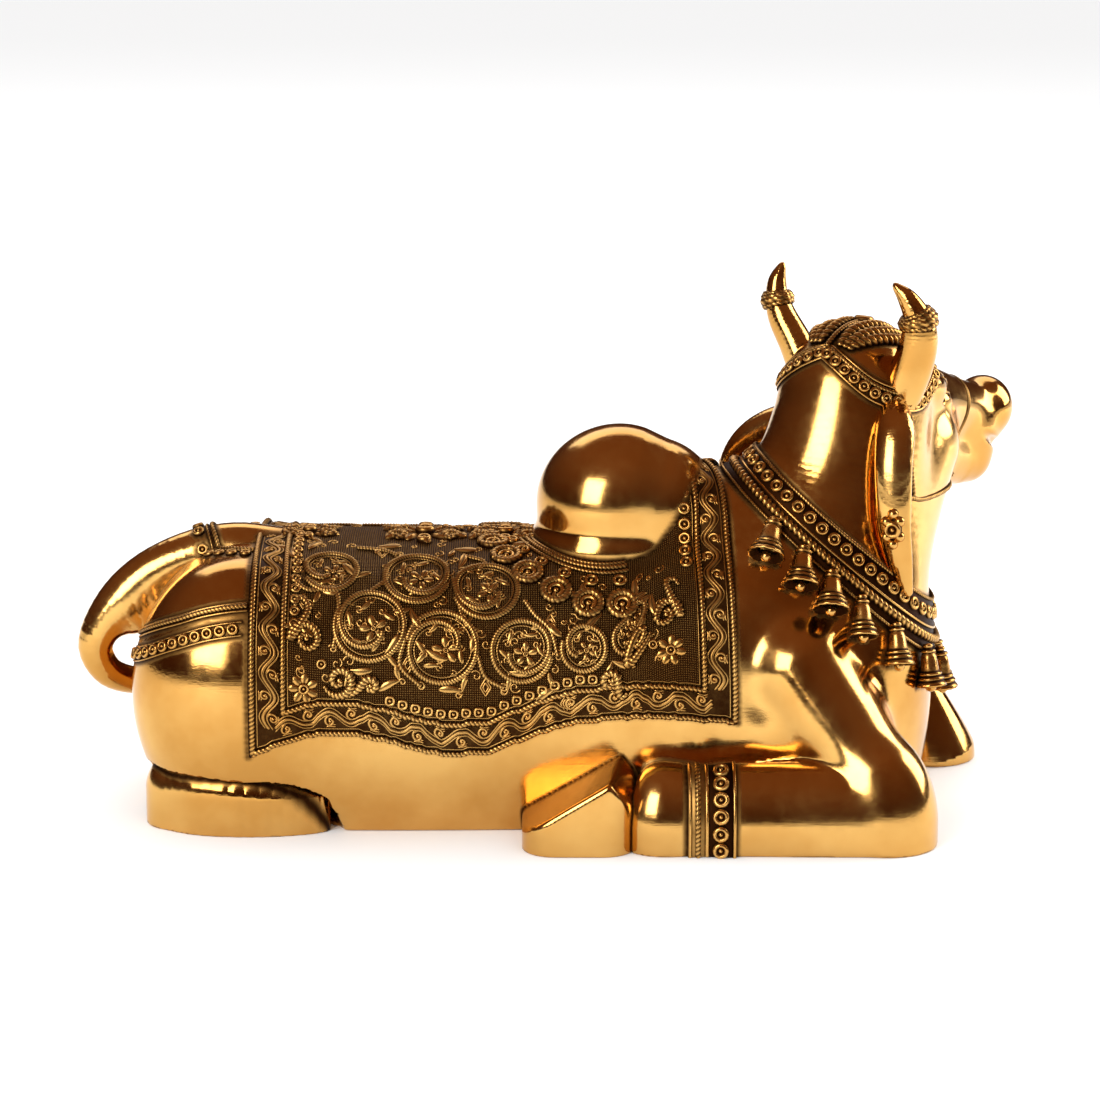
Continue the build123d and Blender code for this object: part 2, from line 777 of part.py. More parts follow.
with BuildPart() as breeching_bosses:
    add(relief(pegs_sideways([(x, 66.3 - 0.1 * (x + 150)) for x in range(-157, -128, 6)], 2.3), clear_of=[TAIL]))
keep(breeching_bosses, "breeching_bosses")

with BuildPart() as croup_crescent:
    add(relief(pegs_upward([(-126, 0)], 24.0, 21.5), TORSO, clear_of=[TAIL]))
    add(side_prism(-0.4), mode=Mode.SUBTRACT)
keep(croup_crescent, "croup_crescent")

CROUP_BOSSES = [
    (-126 - 18.5 * math.cos(math.radians(a)), 18.5 * math.sin(math.radians(a))) for a in range(-70, 71, 20)
]
with BuildPart() as croup_bosses:
    add(relief(pegs_upward(CROUP_BOSSES, 2.1), TORSO, clear_of=[TAIL]))
    add(side_prism(-0.4), mode=Mode.SUBTRACT)
keep(croup_bosses, "croup_bosses")
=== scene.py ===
"""Looks for the reclining brass bull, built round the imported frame.

The skin is sculpted as a distance field in millimetres from the bull's own middle and turned into meshes
piece by piece. The ornament is laid on it as real wire, bosses and bells.
"""

import json
import math

import bpy
import numpy as np
import openvdb
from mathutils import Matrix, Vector
from mathutils.kdtree import KDTree

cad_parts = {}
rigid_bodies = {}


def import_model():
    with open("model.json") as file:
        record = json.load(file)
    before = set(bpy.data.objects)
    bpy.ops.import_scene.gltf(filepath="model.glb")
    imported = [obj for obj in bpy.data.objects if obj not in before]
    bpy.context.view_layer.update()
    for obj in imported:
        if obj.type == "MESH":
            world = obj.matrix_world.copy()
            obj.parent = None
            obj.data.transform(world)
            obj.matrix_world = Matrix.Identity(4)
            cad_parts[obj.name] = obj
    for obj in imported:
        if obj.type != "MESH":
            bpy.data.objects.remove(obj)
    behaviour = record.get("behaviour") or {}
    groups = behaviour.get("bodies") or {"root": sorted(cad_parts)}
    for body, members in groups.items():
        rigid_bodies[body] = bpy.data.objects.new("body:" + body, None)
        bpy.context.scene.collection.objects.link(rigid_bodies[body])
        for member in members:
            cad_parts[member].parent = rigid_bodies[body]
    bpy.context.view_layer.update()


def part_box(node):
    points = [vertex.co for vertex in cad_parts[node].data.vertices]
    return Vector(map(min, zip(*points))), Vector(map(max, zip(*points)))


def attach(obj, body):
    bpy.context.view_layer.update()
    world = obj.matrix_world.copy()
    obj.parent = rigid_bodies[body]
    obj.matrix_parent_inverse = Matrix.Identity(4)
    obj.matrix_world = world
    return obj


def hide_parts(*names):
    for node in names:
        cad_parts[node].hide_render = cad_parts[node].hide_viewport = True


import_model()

MM = 0.001


def node_box(name):
    """A CAD node's box in millimetres."""
    low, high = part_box(name)
    return np.array(low) / MM, np.array(high) / MM


# The bull's own middle, found from the hump, whose centre is HUMP_X ahead of it, on its plane of symmetry
HUMP_X = 21.0
HUMP_LOW, HUMP_HIGH = node_box("hump_dome")
HUMP_R = (HUMP_HIGH[1] - HUMP_LOW[1]) / 2
HUMP_MID = (HUMP_LOW + HUMP_HIGH) / 2
ORIGIN = np.array([HUMP_MID[0] - HUMP_X, HUMP_MID[1], 0.0])
HUMP_C = np.array([HUMP_X, 0.0, HUMP_HIGH[2] - HUMP_R])


# Distance field --------------------------------------------------------


def smin(a, b, k):
    """Smooth union: the smaller of two distances, blended over k."""
    h = np.maximum(k - np.abs(a - b), 0.0) / k
    return np.minimum(a, b) - h * h * h * k / 6.0


def smax(a, b, k):
    """Smooth intersection."""
    return -smin(-a, -b, k)


def egg(p, centre, radii, axes=None):
    """Distance to an ellipsoid, with its axes turned when given."""
    q = p - np.asarray(centre, float)
    if axes is not None:
        q = q @ np.asarray(axes).T
    r = np.asarray(radii, float)
    k0 = np.sqrt(((q / r) ** 2).sum(1)) + 1e-9
    k1 = np.sqrt(((q / (r * r)) ** 2).sum(1)) + 1e-9
    return k0 * (k0 - 1.0) / k1


def rod(p, a, b, ra, rb, squash=None):
    """Distance to a tapering round rod from a to b."""
    a, b = np.asarray(a, float), np.asarray(b, float)
    ab = b - a
    pa = p - a
    t = np.clip(pa @ ab / (ab @ ab), 0.0, 1.0)
    t = t * t * (3 - 2 * t) * 0.35 + t * 0.65
    d = pa - t[:, None] * ab
    if squash is not None:
        axis, factor = squash
        axis = np.asarray(axis, float)
        d = d + (d @ axis)[:, None] * axis * (factor - 1.0)
    return np.sqrt((d * d).sum(1)) - (ra + (rb - ra) * t)


def spline(points, count):
    """count points evenly spaced in parameter along a Catmull-Rom curve; extra columns ride along."""
    pts = np.asarray(points, float)
    ends = [2 * pts[0] - pts[1], *pts, 2 * pts[-1] - pts[-2]]
    ends = np.asarray(ends)
    u = np.linspace(0, len(pts) - 1 - 1e-9, count)
    i = u.astype(int)
    f = (u - i)[:, None]
    a, b, c, d = ends[i], ends[i + 1], ends[i + 2], ends[i + 3]
    return 0.5 * (2 * b + (c - a) * f + (2 * a - 5 * b + 4 * c - d) * f**2 + (3 * b - a - 3 * c + d) * f**3)


def tube_field(p, stations, count=40, flat=None):
    """Distance to a tube along a smooth curve of stations (x, y, z, r), thinner along flat if given."""
    s = spline(stations, count)
    best = np.full(len(p), 1e9)
    for a, b in zip(s[:-1], s[1:]):
        ab = b[:3] - a[:3]
        pa = p - a[:3]
        t = np.clip(pa @ ab / (ab @ ab), 0.0, 1.0)
        d = pa - t[:, None] * ab
        if flat is not None:
            d = d + (d @ flat)[:, None] * flat * EAR_FLATNESS
        best = np.minimum(best, np.sqrt((d * d).sum(1)) - (a[3] + (b[3] - a[3]) * t))
    return best


def curve_value(x, xs, ys):
    """A smooth curve through (xs, ys) at x, level beyond its ends."""
    table = spline(np.column_stack([xs, ys]), 200)
    return np.interp(x, table[:, 0], table[:, 1])


REAR_X, REAR_CAP = -116.0, 49.0
FRONT_X, FRONT_CAP = 100.0, 51.0
WIDE_Z = 52.0


def torso_field(p):
    """The barrel of the body: flat-bottomed, full sides, a round back, closed by a rump and a chest."""
    x, y, z = p.T
    half = curve_value(x, [-190, -116, -60, 0, 60, 100, 160], [57, 60, 61, 59.5, 58, 52, 50])
    top = curve_value(x, [-190, -116, -60, 0, 40, 75, 110, 160], [107, 107.5, 107, 107, 109, 114, 108, 100])
    low = np.where(x < REAR_X, 80.0 - 0.16 * (REAR_X - x), 80.0)
    up = np.where(z > WIDE_Z, (z - WIDE_Z) / (top - WIDE_Z), (WIDE_Z - z) / low)
    cap = np.where(x < REAR_X, (REAR_X - x) / REAR_CAP, np.maximum(x - FRONT_X, 0) / FRONT_CAP)
    n = 2.35
    s = (np.abs(y / half) ** n + np.abs(up) ** n + cap**n) ** (1 / n)
    return (s - 1.0) * 48.0


def mirrored(point, side):
    """A point on the near side (-Y) taken to side = -1 (near) or 1 (far)."""
    return np.array([point[0], abs(point[1]) * side, point[2]], float)


SHANK_Y = 67.0
LOAF_Z = 8.0
FETLOCK_END = 31.5


def loaf(p, level):
    """The points with all below a level moved up to it, so that walls stand straight down from there."""
    q = p.copy()
    q[:, 2] = np.maximum(q[:, 2], level)
    return q


def near_arm(p):
    """The upper arm, from the shoulder's bump down to the knee."""
    q = loaf(p, LOAF_Z)
    arm = rod(q, (95, -43, 64), (122, -61, 27), 20.5, 17.5)
    knee = egg(q, (129.5, -66, LOAF_Z), (19, 19.5, 27))
    return smin(arm, knee, 20)


def near_shank(p):
    """The shank folded back along the ground from the knee, and the fetlock."""
    q = loaf(p, LOAF_Z)
    tall = ((0, 0, 1), 0.72)
    shank = rod(q, (126, -SHANK_Y, LOAF_Z), (70, -SHANK_Y, LOAF_Z), 18.6, 17.5, tall)
    fetlock = rod(q, (62, -SHANK_Y, LOAF_Z), (42, -SHANK_Y, LOAF_Z), 16.5, 18.0, tall)
    leg = smin(shank, fetlock, 5)
    return smax(leg, FETLOCK_END - p[:, 0] + 0.3 * (p[:, 1] + SHANK_Y), 5)


def rounded_block(p, centre, half, radius):
    """Distance, seen from above, to a block with rounded upright corners."""
    q = np.abs(p[:, :2] - np.asarray(centre, float)) - (np.asarray(half, float) - radius)
    return np.sqrt((np.maximum(q, 0) ** 2).sum(1)) + np.minimum(q.max(1), 0) - radius


def facet(p, point, normal):
    """Distance above a flat facet."""
    n = np.asarray(normal, float)
    return (p - np.asarray(point, float)) @ (n / np.linalg.norm(n))


def near_hoof(p):
    """The folded hoof: upright wall, a long facet that rises to a peak, a short one down to the seam."""
    d = rounded_block(p, (9.0, -SHANK_Y + 4), (22.0, 22.5), 13)
    d = smax(d, facet(p, (-10, -84, 10.2), (-0.52, -0.06, 0.86)), 3.0)
    d = smax(d, facet(p, (22, -82, 28.4), (0.79, -0.25, 0.56)), 2.6)
    d = smax(d, facet(p, (10, -86, 12), (-0.05, -1, 0.10)), 3.0)
    return ground(p, d)


def far_hoof(p):
    """The planted hoof: a cone that widens to the ground."""
    d = rod(p, (148, 55, 38), (157.5, 57, 2), 9, 19)
    return ground(p, smax(d, p[:, 2] - 43, 4))


def far_foreleg(p):
    """Upper arm forward to the knee, then down to the planted hoof."""
    arm = rod(p, (84, 38, 62), (128, 50, 46), 25, 17)
    shin = rod(p, (130, 50, 46), (150, 54, 20), 14, 12)
    return smin(arm, shin, 12)


def haunch(p, side):
    """The thigh's bulge on the rump."""
    return egg(p, mirrored((-126, 33, 52), side), (40, 30, 50))


def hind_foot(p, side):
    """The tucked hind foot: a long wedge, blunt behind and drawn out to a point in front."""
    return tube_field(
        loaf(p, 15),
        [
            (-147, side * 36, 14, 15),
            (-134, side * 41.5, 15, 16.5),
            (-117, side * 45.5, 14, 14),
            (-100, side * 48, 12, 9),
            (-86, side * 49, 10, 3),
        ],
        16,
    )


NECK_LINE = [
    (92, 0, 84, 44), (104, 1, 102, 40), (112, 4, 124, 35), (117, 9, 147, 31.5), (118, 13, 160, 28.5),
    (119.5, 15, 167, 22.5),
]


def neck_field(p):
    """The neck, deeper fore and aft than across."""
    q = p.copy()
    q[:, 1] = 12 + (q[:, 1] - 12) * 1.12
    return tube_field(q, NECK_LINE, 40) * 0.94


def ground(p, d):
    """Cut a field level at the surface that the bull stands on, with a slightly worn edge."""
    return smax(d, -p[:, 2], 1.2)


# Meshing ---------------------------------------------------------------


def gradient(field, p, step=0.05):
    """The field's gradient by central differences."""
    out = np.empty_like(p)
    for i in range(3):
        e = np.zeros(3)
        e[i] = step
        out[:, i] = (field(p + e) - field(p - e)) / (2 * step)
    return out


def step_onto(field, p, limit):
    """One step of each point toward the field's surface, no longer than the limit."""
    g = gradient(field, p)
    move = -(field(p) / np.maximum((g * g).sum(1), 1e-3))[:, None] * g
    size = np.linalg.norm(move, axis=1, keepdims=True)
    return p + move * np.minimum(1.0, limit / np.maximum(size, 1e-9))


def sample_grid(field, low, high, voxel):
    """The field on a regular grid, worked out only near its surface."""
    low, high = np.asarray(low, float), np.asarray(high, float)
    block = 6
    counts = np.ceil((high - low) / voxel / block).astype(int) * block + 1
    coarse = [low[i] + voxel * block * np.arange((counts[i] - 1) // block + 1) for i in range(3)]
    cx, cy, cz = np.meshgrid(*coarse, indexing="ij")
    centres = np.column_stack([c.ravel() for c in (cx, cy, cz)])
    values = field(centres).reshape(cx.shape)
    fine = [low[i] + voxel * np.arange(counts[i]) for i in range(3)]
    grid = np.repeat(np.repeat(np.repeat(values, block, 0), block, 1), block, 2)
    grid = grid[: counts[0], : counts[1], : counts[2]].astype(np.float32)
    reach = voxel * block * 2.2
    near = np.abs(grid) < reach
    ix, iy, iz = np.nonzero(near)
    pts = np.column_stack([fine[0][ix], fine[1][iy], fine[2][iz]])
    out = np.empty(len(pts))
    for start in range(0, len(pts), 400000):
        out[start : start + 400000] = field(pts[start : start + 400000])
    grid[ix, iy, iz] = out
    return grid


def polygonise(field, low, high, voxel, rounds=2):
    """Points and quads on the field's surface, with the normals that the field has there."""
    grid = sample_grid(field, low, high, voxel)
    vdb = openvdb.FloatGrid(float(grid.max()))
    vdb.copyFromArray(grid)
    points, quads = vdb.convertToQuads(0.0)
    p = points.astype(float) * voxel + np.asarray(low, float)
    for _ in range(rounds):
        p = step_onto(field, p, voxel)
    return p, quads.astype(int), unit(gradient(field, p))


# Head ------------------------------------------------------------------

POLL = np.array([121.0, 15.0, 181.0])
YAW, PITCH = math.radians(50), math.radians(-21.5)
FORWARD = np.array([math.cos(PITCH) * math.cos(YAW), math.cos(PITCH) * math.sin(YAW), math.sin(PITCH)])
LEFT = np.array([-math.sin(YAW), math.cos(YAW), 0.0])
UP = np.cross(FORWARD, LEFT)
HEAD_AXES = np.array([FORWARD, LEFT, UP])


def on_head(forward, left, up):
    """A point given along the head's own directions from the poll."""
    return POLL + FORWARD * forward + LEFT * left + UP * up


def head_field(p):
    """The head in its own directions: skull, brows, tapering face, ball of the nose, jaw and chin."""
    q = (p - POLL) @ HEAD_AXES.T
    m = q.copy()
    m[:, 1] = np.abs(m[:, 1])
    d = egg(q, (10, 0, -15), (30, 24, 22))
    d = smin(d, rod(q, (22, 0, -16), (88, 0, -5.5), 20.5, 12.0, ((0, 1, 0), 1.12)), 14)
    d = smin(d, rod(q, (28, 0, -34), (84, 0, -26), 19, 11.5, ((0, 1, 0), 1.15)), 10)
    d = smin(d, egg(m, (28, 15, -7), (13, 8.5, 8)), 7)
    d = smin(d, egg(q, (97.3, 0, -1.6), (12.8, 13.0, 13.6)), 6)
    d = smin(d, egg(q, (89, 0, -13), (16.5, 12.5, 14)), 5)
    d = smin(d, egg(q, (93.5, 0, -23.5), (11.5, 10.5, 11.0)), 7)
    # The mouth's slit, and the nostrils
    d = smax(d, -rod(m, (86, 14, -14.5), (109, 6, -16.0), 1.6, 2.6), 2.5)
    d = smax(d, -egg(m, (108, 6.5, 0.5), (3.2, 2.4, 2.0)), 1.2)
    # The eye: a ball in a socket with heavy lids
    d = smax(d, -egg(m, (40, 20, -9.5), (7.5, 3.2, 4.6)), 2.0)
    d = smin(d, egg(m, (40, 16.6, -9.5), (5.6, 3.6, 3.6)), 0.5)
    return d


def throat_field(p):
    """The throat and the dewlap's fold, from under the jaw down to the chest."""
    return rod(p, (142, 34, 138), (118, 2, 92), 22.2, 29)


def upper_field(p):
    """The neck and head together, standing on the shoulders."""
    d = smin(neck_field(p), throat_field(p), 14)
    return smin(d, head_field(p), 13)


def withers_field(p):
    """The ridge that runs from the hump up to the neck."""
    return rod(p, (52, 0, 114), (84, 0, 101), 23.0, 30.5)


def hump_field(p):
    """The hump: a polished ball, drawn out a little toward the neck."""
    ball = np.linalg.norm(p - HUMP_C - (0.8, 0, 0), axis=1) - HUMP_R + 0.6
    lean = rod(p, HUMP_C + (6, 0, 2.4), HUMP_C + (17, 0, -1.0), 29.0, 27.6, ((0, 1, 0), 1.06))
    base = egg(p, HUMP_C - (-0.5, 0, 15), (32.0, 31.5, 14))
    return smin(smin(ball, lean, 8), base, 7)


COLLAR_C = np.array([108.0, 0.0, 100.0])
COLLAR_SLOPE = math.radians(41)
COLLAR_UP = np.array([math.sin(COLLAR_SLOPE), 0.0, math.cos(COLLAR_SLOPE)])
COLLAR_FRONT = np.array([math.cos(COLLAR_SLOPE), 0.0, -math.sin(COLLAR_SLOPE)])


def whole_field(p):
    """Torso, legs, neck and head in one skin."""
    d = torso_field(p)
    for side in (-1, 1):
        d = smin(d, haunch(p, side), 18)
    d = smin(d, withers_field(p), 16)
    d = smin(d, upper_field(p), 26)
    d = smin(d, far_foreleg(p), 9)
    d = smin(d, egg(p, (100, -46, 40), (28, 17, 20)), 16)
    d = smin(d, near_arm(p), 10)
    d = smin(d, near_shank(p), 3.5)
    for side in (-1, 1):
        foot = hind_foot(p, side)
        d = smin(smax(d, 2.6 - foot, 2.0), foot, 0.6)
    return ground(p, d)


HEM = [
    (-130, 34), (-120, 34), (-105, 40), (-85, 43), (-66, 40), (-47, 35), (-27, 35), (-16, 39), (-3, 44),
    (10, 47), (39, 49), (71, 46), (90, 45),
]


def hem_height(x):
    """How high the saddle cloth's lower edge is."""
    hem = np.array(HEM, float)
    return curve_value(x, hem[:, 0], hem[:, 1])


TAIL_LINE = [
    (-110, 0, 99, 12), (-128, -0.5, 101.5, 11.5), (-146, -2, 99.5, 10.2), (-164, -4, 91.5, 9.2),
    (-177, -6.5, 79, 8.2), (-184, -7.5, 65, 7.0), (-180, -5, 53.5, 6.2), (-171, 3, 47.3, 5.6),
    (-165, 16, 45.5, 5.5), (-160, 30, 45.0, 6.5), (-148, 46, 43.5, 8.2), (-137, 55, 41.5, 7.5),
    (-127, 60, 39.0, 3.0),
]


TAIL_WEB = [(-150, 2, 84, 14), (-166, -1, 80, 12), (-172, -2, 77, 9)]


def tail_field(p):
    """The tail, with the web that joins its upper bow to the rump."""
    return smin(tube_field(p, TAIL_LINE, 60), tube_field(p, TAIL_WEB, 8), 9)


HORN_LINES = {
    "right": [
        (136, -1, 164, 8.9), (141, -5, 178, 8.2), (143, -8, 189, 7.3), (142, -9, 197, 5.6),
        (138, -9, 204.5, 3.9), (134, -8.5, 208.8, 1.9), (133, -8.3, 210, 1.1),
    ],
    "left": [
        (104, 33, 164, 8.2), (98, 37, 178, 7.0), (92.3, 41, 189, 6.0), (90, 43, 197, 4.7),
        (90, 44, 203.5, 3.7), (91.5, 44, 208.8, 1.9), (92, 44, 210.2, 1.1),
    ],
}
EAR_LINES = {
    "right": [
        (133, -8, 160, 6.5), (133, -20, 154, 8), (132, -27, 143, 7.6), (132, -30, 130, 7.2),
        (132.5, -31, 118, 6.6), (135, -31, 104, 5), (138, -30, 92, 2.5),
    ],
    "left": [
        (104, 36, 148, 6.5), (93, 43, 145, 8), (82.5, 49, 138.5, 8.5), (75.5, 52, 130, 8.5),
        (73, 53, 120, 8), (75, 52, 107, 6), (78, 50, 95, 2.5),
    ],
}
EAR_FLATNESS = 0.9
EAR_FACES = {"right": (-0.25, -0.97, 0.0), "left": (-0.75, 0.66, 0.0)}


def ear_field(p, name):
    """A hanging ear: a flattened leaf."""
    return tube_field(p, EAR_LINES[name], 90, np.array(EAR_FACES[name])) * 0.6


# Laying ornament on the skin -------------------------------------------


def unit(v):
    """Rows scaled to length 1."""
    return v / np.maximum(np.linalg.norm(v, axis=-1, keepdims=True), 1e-9)


def settle(field, p, rounds=10):
    """Points moved onto a field's surface, with its normals there."""
    p = np.array(p, float)
    for _ in range(rounds):
        p = step_onto(field, p, 4.0)
    return p, unit(gradient(field, p))


def reach(field, centre, directions, near=2.0, far=130.0):
    """Where rays from a centre inside the skin come out of it."""
    low, high = np.full(len(directions), near), np.full(len(directions), far)
    centre = np.asarray(centre, float)
    for _ in range(16):
        mid = (low + high) / 2
        inside = field(centre + directions * mid[:, None]) < 0
        low, high = np.where(inside, mid, low), np.where(inside, high, mid)
    return centre + directions * low[:, None]


def distance_along(points):
    """How far along a path each of its points is."""
    return np.r_[0, np.cumsum(np.linalg.norm(np.diff(points, axis=0), axis=1))]


def even(points, step, values=None):
    """A path resampled to equal steps, or values that go with its points resampled in the same way."""
    points = np.asarray(points, float)
    values = points if values is None else values
    along = distance_along(points)
    at = np.linspace(0, along[-1], max(int(round(along[-1] / step)), 2) + 1)
    return np.column_stack([np.interp(at, along, column) for column in values.T])


def lay(field, points, step=1.0):
    """A smooth path through a few points, resting on a field's surface, with its normals."""
    path, _ = settle(field, spline(points, 12 * len(points)))
    return settle(field, even(path, step), 2)


SKIN_X = np.arange(-128.0, 84.1, 2.0)
SKIN_V = np.arange(0.0, 135.0, 1.0)


class Flank:
    """One side of the body laid out flat: x along it and v down from the spine, both in millimetres."""

    def __init__(self, side):
        turn = np.radians(np.linspace(0, 140, 141))
        rows = []
        for x in SKIN_X:
            out = np.column_stack([np.zeros_like(turn), side * np.sin(turn), np.cos(turn)])
            section = reach(whole_field, (x, 0.0, 60.0), out)
            down = distance_along(section)
            rows.append(np.column_stack([np.interp(SKIN_V, down, section[:, k]) for k in range(3)]))
        self.points = np.array(rows)
        normals = unit(gradient(whole_field, self.points.reshape(-1, 3), 1.0))
        self.normals = normals.reshape(self.points.shape)
        self.hem = np.array([self.down_to(i, hem_height(x)) for i, x in enumerate(SKIN_X)])

    def down_to(self, row, height):
        """How far down the side a height is."""
        z = self.points[row, :, 2]
        return float(SKIN_V[np.argmax((z < height) & (SKIN_V > 60))])

    def hem_at(self, x):
        return np.interp(x, SKIN_X, self.hem)

    def at(self, x, v, height=0.0):
        """Points at (x, v), raised off the skin, with its normals."""
        x, v = np.broadcast_arrays(np.asarray(x, float), np.asarray(v, float))
        fx = np.clip((x - SKIN_X[0]) / 2.0, 0, len(SKIN_X) - 1.001)
        fv = np.clip(v, 0, len(SKIN_V) - 1.001)
        i, j = fx.astype(int), fv.astype(int)
        a, b = (fx - i)[..., None], (fv - j)[..., None]
        out = []
        for table in (self.points, self.normals):
            top = table[i, j] * (1 - a) + table[i + 1, j] * a
            low = table[i, j + 1] * (1 - a) + table[i + 1, j + 1] * a
            out.append(top * (1 - b) + low * b)
        normals = unit(out[1])
        return out[0] + normals * np.asarray(height, float)[..., None], normals


# Castings --------------------------------------------------------------


class Casting:
    """Points and faces gathered for one piece, each point with a crest value: 0 in a recess, 1 on a ridge; on
    the skin a low value is patina and painted shade.
    """

    def __init__(self):
        self.points, self.faces, self.crests, self.plans, self.count = [], [], [], [], 0

    def add(self, points, faces, crest, plan=None):
        points = np.asarray(points, float).reshape(-1, 3)
        self.points.append(points)
        self.crests.append(np.broadcast_to(crest, len(points)).astype(float))
        self.plans.append(np.zeros((len(points), 3)) if plan is None else plan)
        for block in faces:
            self.faces.append(np.asarray(block) + self.count)
        self.count += len(points)

    def build(self, name, cad_node, slot=None, material=None, normals=None):
        """The piece itself, standing for its CAD node, in relief brass unless it is given something else."""
        mesh = bpy.data.meshes.new(name)
        points = np.concatenate(self.points)
        faces = [face for block in self.faces for face in block.tolist()]
        mesh.from_pydata(((points + ORIGIN) * MM).tolist(), [], faces)
        mesh.update()
        mesh.shade_smooth()
        crest = mesh.attributes.new("crest", "FLOAT", "POINT")
        crest.data.foreach_set("value", np.concatenate(self.crests).astype(np.float32))
        plan = mesh.attributes.new("plan", "FLOAT_VECTOR", "POINT")
        plan.data.foreach_set("vector", np.concatenate(self.plans).astype(np.float32).ravel())
        if normals is not None:
            mesh.normals_split_custom_set_from_vertices(normals.tolist())
        piece = bpy.data.objects.new(name, mesh)
        bpy.context.scene.collection.objects.link(piece)
        mesh.materials.append(material or RELIEF)
        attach(piece, "root")
        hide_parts(cad_node)
        return piece


def lattice(rows, columns, wrap=False):
    """The quads of a grid of points, closed round its columns when wrapped."""
    r, c = np.meshgrid(np.arange(rows - 1), np.arange(columns if wrap else columns - 1), indexing="ij")
    r, c = r.ravel(), c.ravel()
    n = (c + 1) % columns
    return np.column_stack([r * columns + c, r * columns + n, (r + 1) * columns + n, (r + 1) * columns + c])


def wire(
    casting, path, normals, radius, sides=6, pitch=0.0, depth=0.16, flat=1.0, low=0.15, high=1.0, lift=0.0
):
    """A wire along a path; with a pitch it is a twisted rope of two strands."""
    path, normals = np.asarray(path), np.asarray(normals)
    t = unit(np.gradient(path, axis=0))
    n = unit(normals - (normals * t).sum(1)[:, None] * t)
    b = np.cross(t, n)
    s = distance_along(path)[:, None]
    phi = (2 * np.pi * np.arange(sides) / sides)[None, :]
    twist = np.cos(2 * phi - 2 * np.pi * s / pitch) if pitch else np.zeros((len(path), sides))
    r = np.broadcast_to(np.asarray(radius, float), len(path))[:, None] * (1 + depth * twist)
    ring = n[:, None] * (np.cos(phi) * r * flat)[..., None] + b[:, None] * (np.sin(phi) * r)[..., None]
    points = (path + n * lift)[:, None] + ring
    crest = low + (high - low) * np.clip(np.cos(phi), 0, 1) ** 0.8 * (0.62 + 0.38 * twist if pitch else 1.0)
    crest = np.broadcast_to(crest, (len(path), sides))
    last = (len(path) - 1) * sides
    caps = [np.arange(sides)[::-1][None, :], np.arange(last, last + sides)[None, :]]
    casting.add(points, [lattice(len(path), sides, True), *caps], crest.ravel())


def turned(profile, sides=12, squareness=0.0, lobes=0, lobe_depth=0.0):
    """A template turned about its axis from rows of (radius, height, crest), from the rim inward."""
    rows = np.asarray(profile, float)
    phi = 2 * np.pi * np.arange(sides) / sides
    square = (np.cos(phi) ** 4 + np.sin(phi) ** 4) ** -0.25
    outline = 1 + squareness * (square - 1) + lobe_depth * np.cos(lobes * phi)
    x = rows[:-1, 0][:, None] * np.cos(phi) * outline
    y = rows[:-1, 0][:, None] * np.sin(phi) * outline
    z = np.broadcast_to(rows[:-1, 1][:, None], x.shape)
    points = np.concatenate([np.stack([x, y, z], -1).reshape(-1, 3), [[0, 0, rows[-1, 1]]]])
    crest = np.r_[np.repeat(rows[:-1, 2], sides), rows[-1, 2]]
    last = (len(rows) - 2) * sides
    j = np.arange(sides)
    fan = np.column_stack([last + j, last + (j + 1) % sides, np.full(sides, len(points) - 1)])
    return points, [lattice(len(rows) - 1, sides, True), fan], crest


def stamp(casting, template, at, up, along, size=1.0):
    """Copies of a template, one at each place, standing along its normal."""
    points, faces, crest = template
    at, up, along = (np.atleast_2d(np.asarray(v, float)) for v in (at, up, along))
    up = unit(np.broadcast_to(up, at.shape))
    along = np.broadcast_to(along, at.shape)
    along = unit(along - (along * up).sum(1)[:, None] * up)
    across = np.cross(up, along)
    size = np.broadcast_to(np.asarray(size, float), len(at))
    for p, u, a, c, k in zip(at, up, along, across, size):
        casting.add(p + k * (points[:, :1] * a + points[:, 1:2] * c + points[:, 2:] * u), faces, crest)


BOSS = turned(
    [
        (1.0, -0.5, 0.0), (1.0, 0.12, 0.25), (0.9, 0.42, 0.8), (0.7, 0.55, 1.0), (0.52, 0.44, 0.6),
        (0.42, 0.16, 0.0), (0.28, 0.2, 0.1), (0.2, 0.42, 0.9), (0.0, 0.5, 1.0),
    ],
    14,
)
SQUARE_BOSS = turned(
    [
        (1.0, -0.5, 0.0), (0.98, 0.15, 0.25), (0.84, 0.5, 1.0), (0.6, 0.52, 0.9), (0.46, 0.2, 0.0),
        (0.3, 0.22, 0.1), (0.2, 0.48, 0.9), (0.0, 0.54, 1.0),
    ],
    16,
    squareness=0.8,
)
BEAD = turned([(1.0, -0.3, 0.0), (1.0, 0.15, 0.3), (0.78, 0.6, 0.8), (0.42, 0.86, 1.0), (0.0, 0.95, 1.0)], 9)
PETAL_ROWS = ((0.0, 0.1), (0.18, 0.5), (0.45, 0.95), (0.72, 1.0), (0.92, 0.62), (1.0, 0.1))


def leaf(length, width, height, bend=0.0, groove=0.35):
    """A raised leaf that starts at the origin and points along x, hollowed along its middle."""
    rows = []
    for t, w in PETAL_ROWS:
        for y, rise, crest in ((-1, 0, 0), (-0.6, 0.85, 1), (0, 1 - groove, 0.35), (0.6, 0.85, 1), (1, 0, 0)):
            rise = rise * (0.35 + 0.65 * w) * height - 0.25
            rows.append((t * length, y * w * width / 2 + bend * t * t, rise, crest))
    rows = np.array(rows)
    faces = lattice(len(PETAL_ROWS), 5)[:, ::-1]
    return rows[:, :3], [faces], rows[:, 3]


def spiral(centre, start_radius, end_radius, start, turns, count=60):
    """A flat spiral of (x, v) points."""
    t = np.linspace(0, 1, count)
    angle = np.radians(start) + 2 * np.pi * turns * t
    r = start_radius + (end_radius - start_radius) * t**1.15
    return np.column_stack([centre[0] + r * np.cos(angle), centre[1] + r * np.sin(angle)])


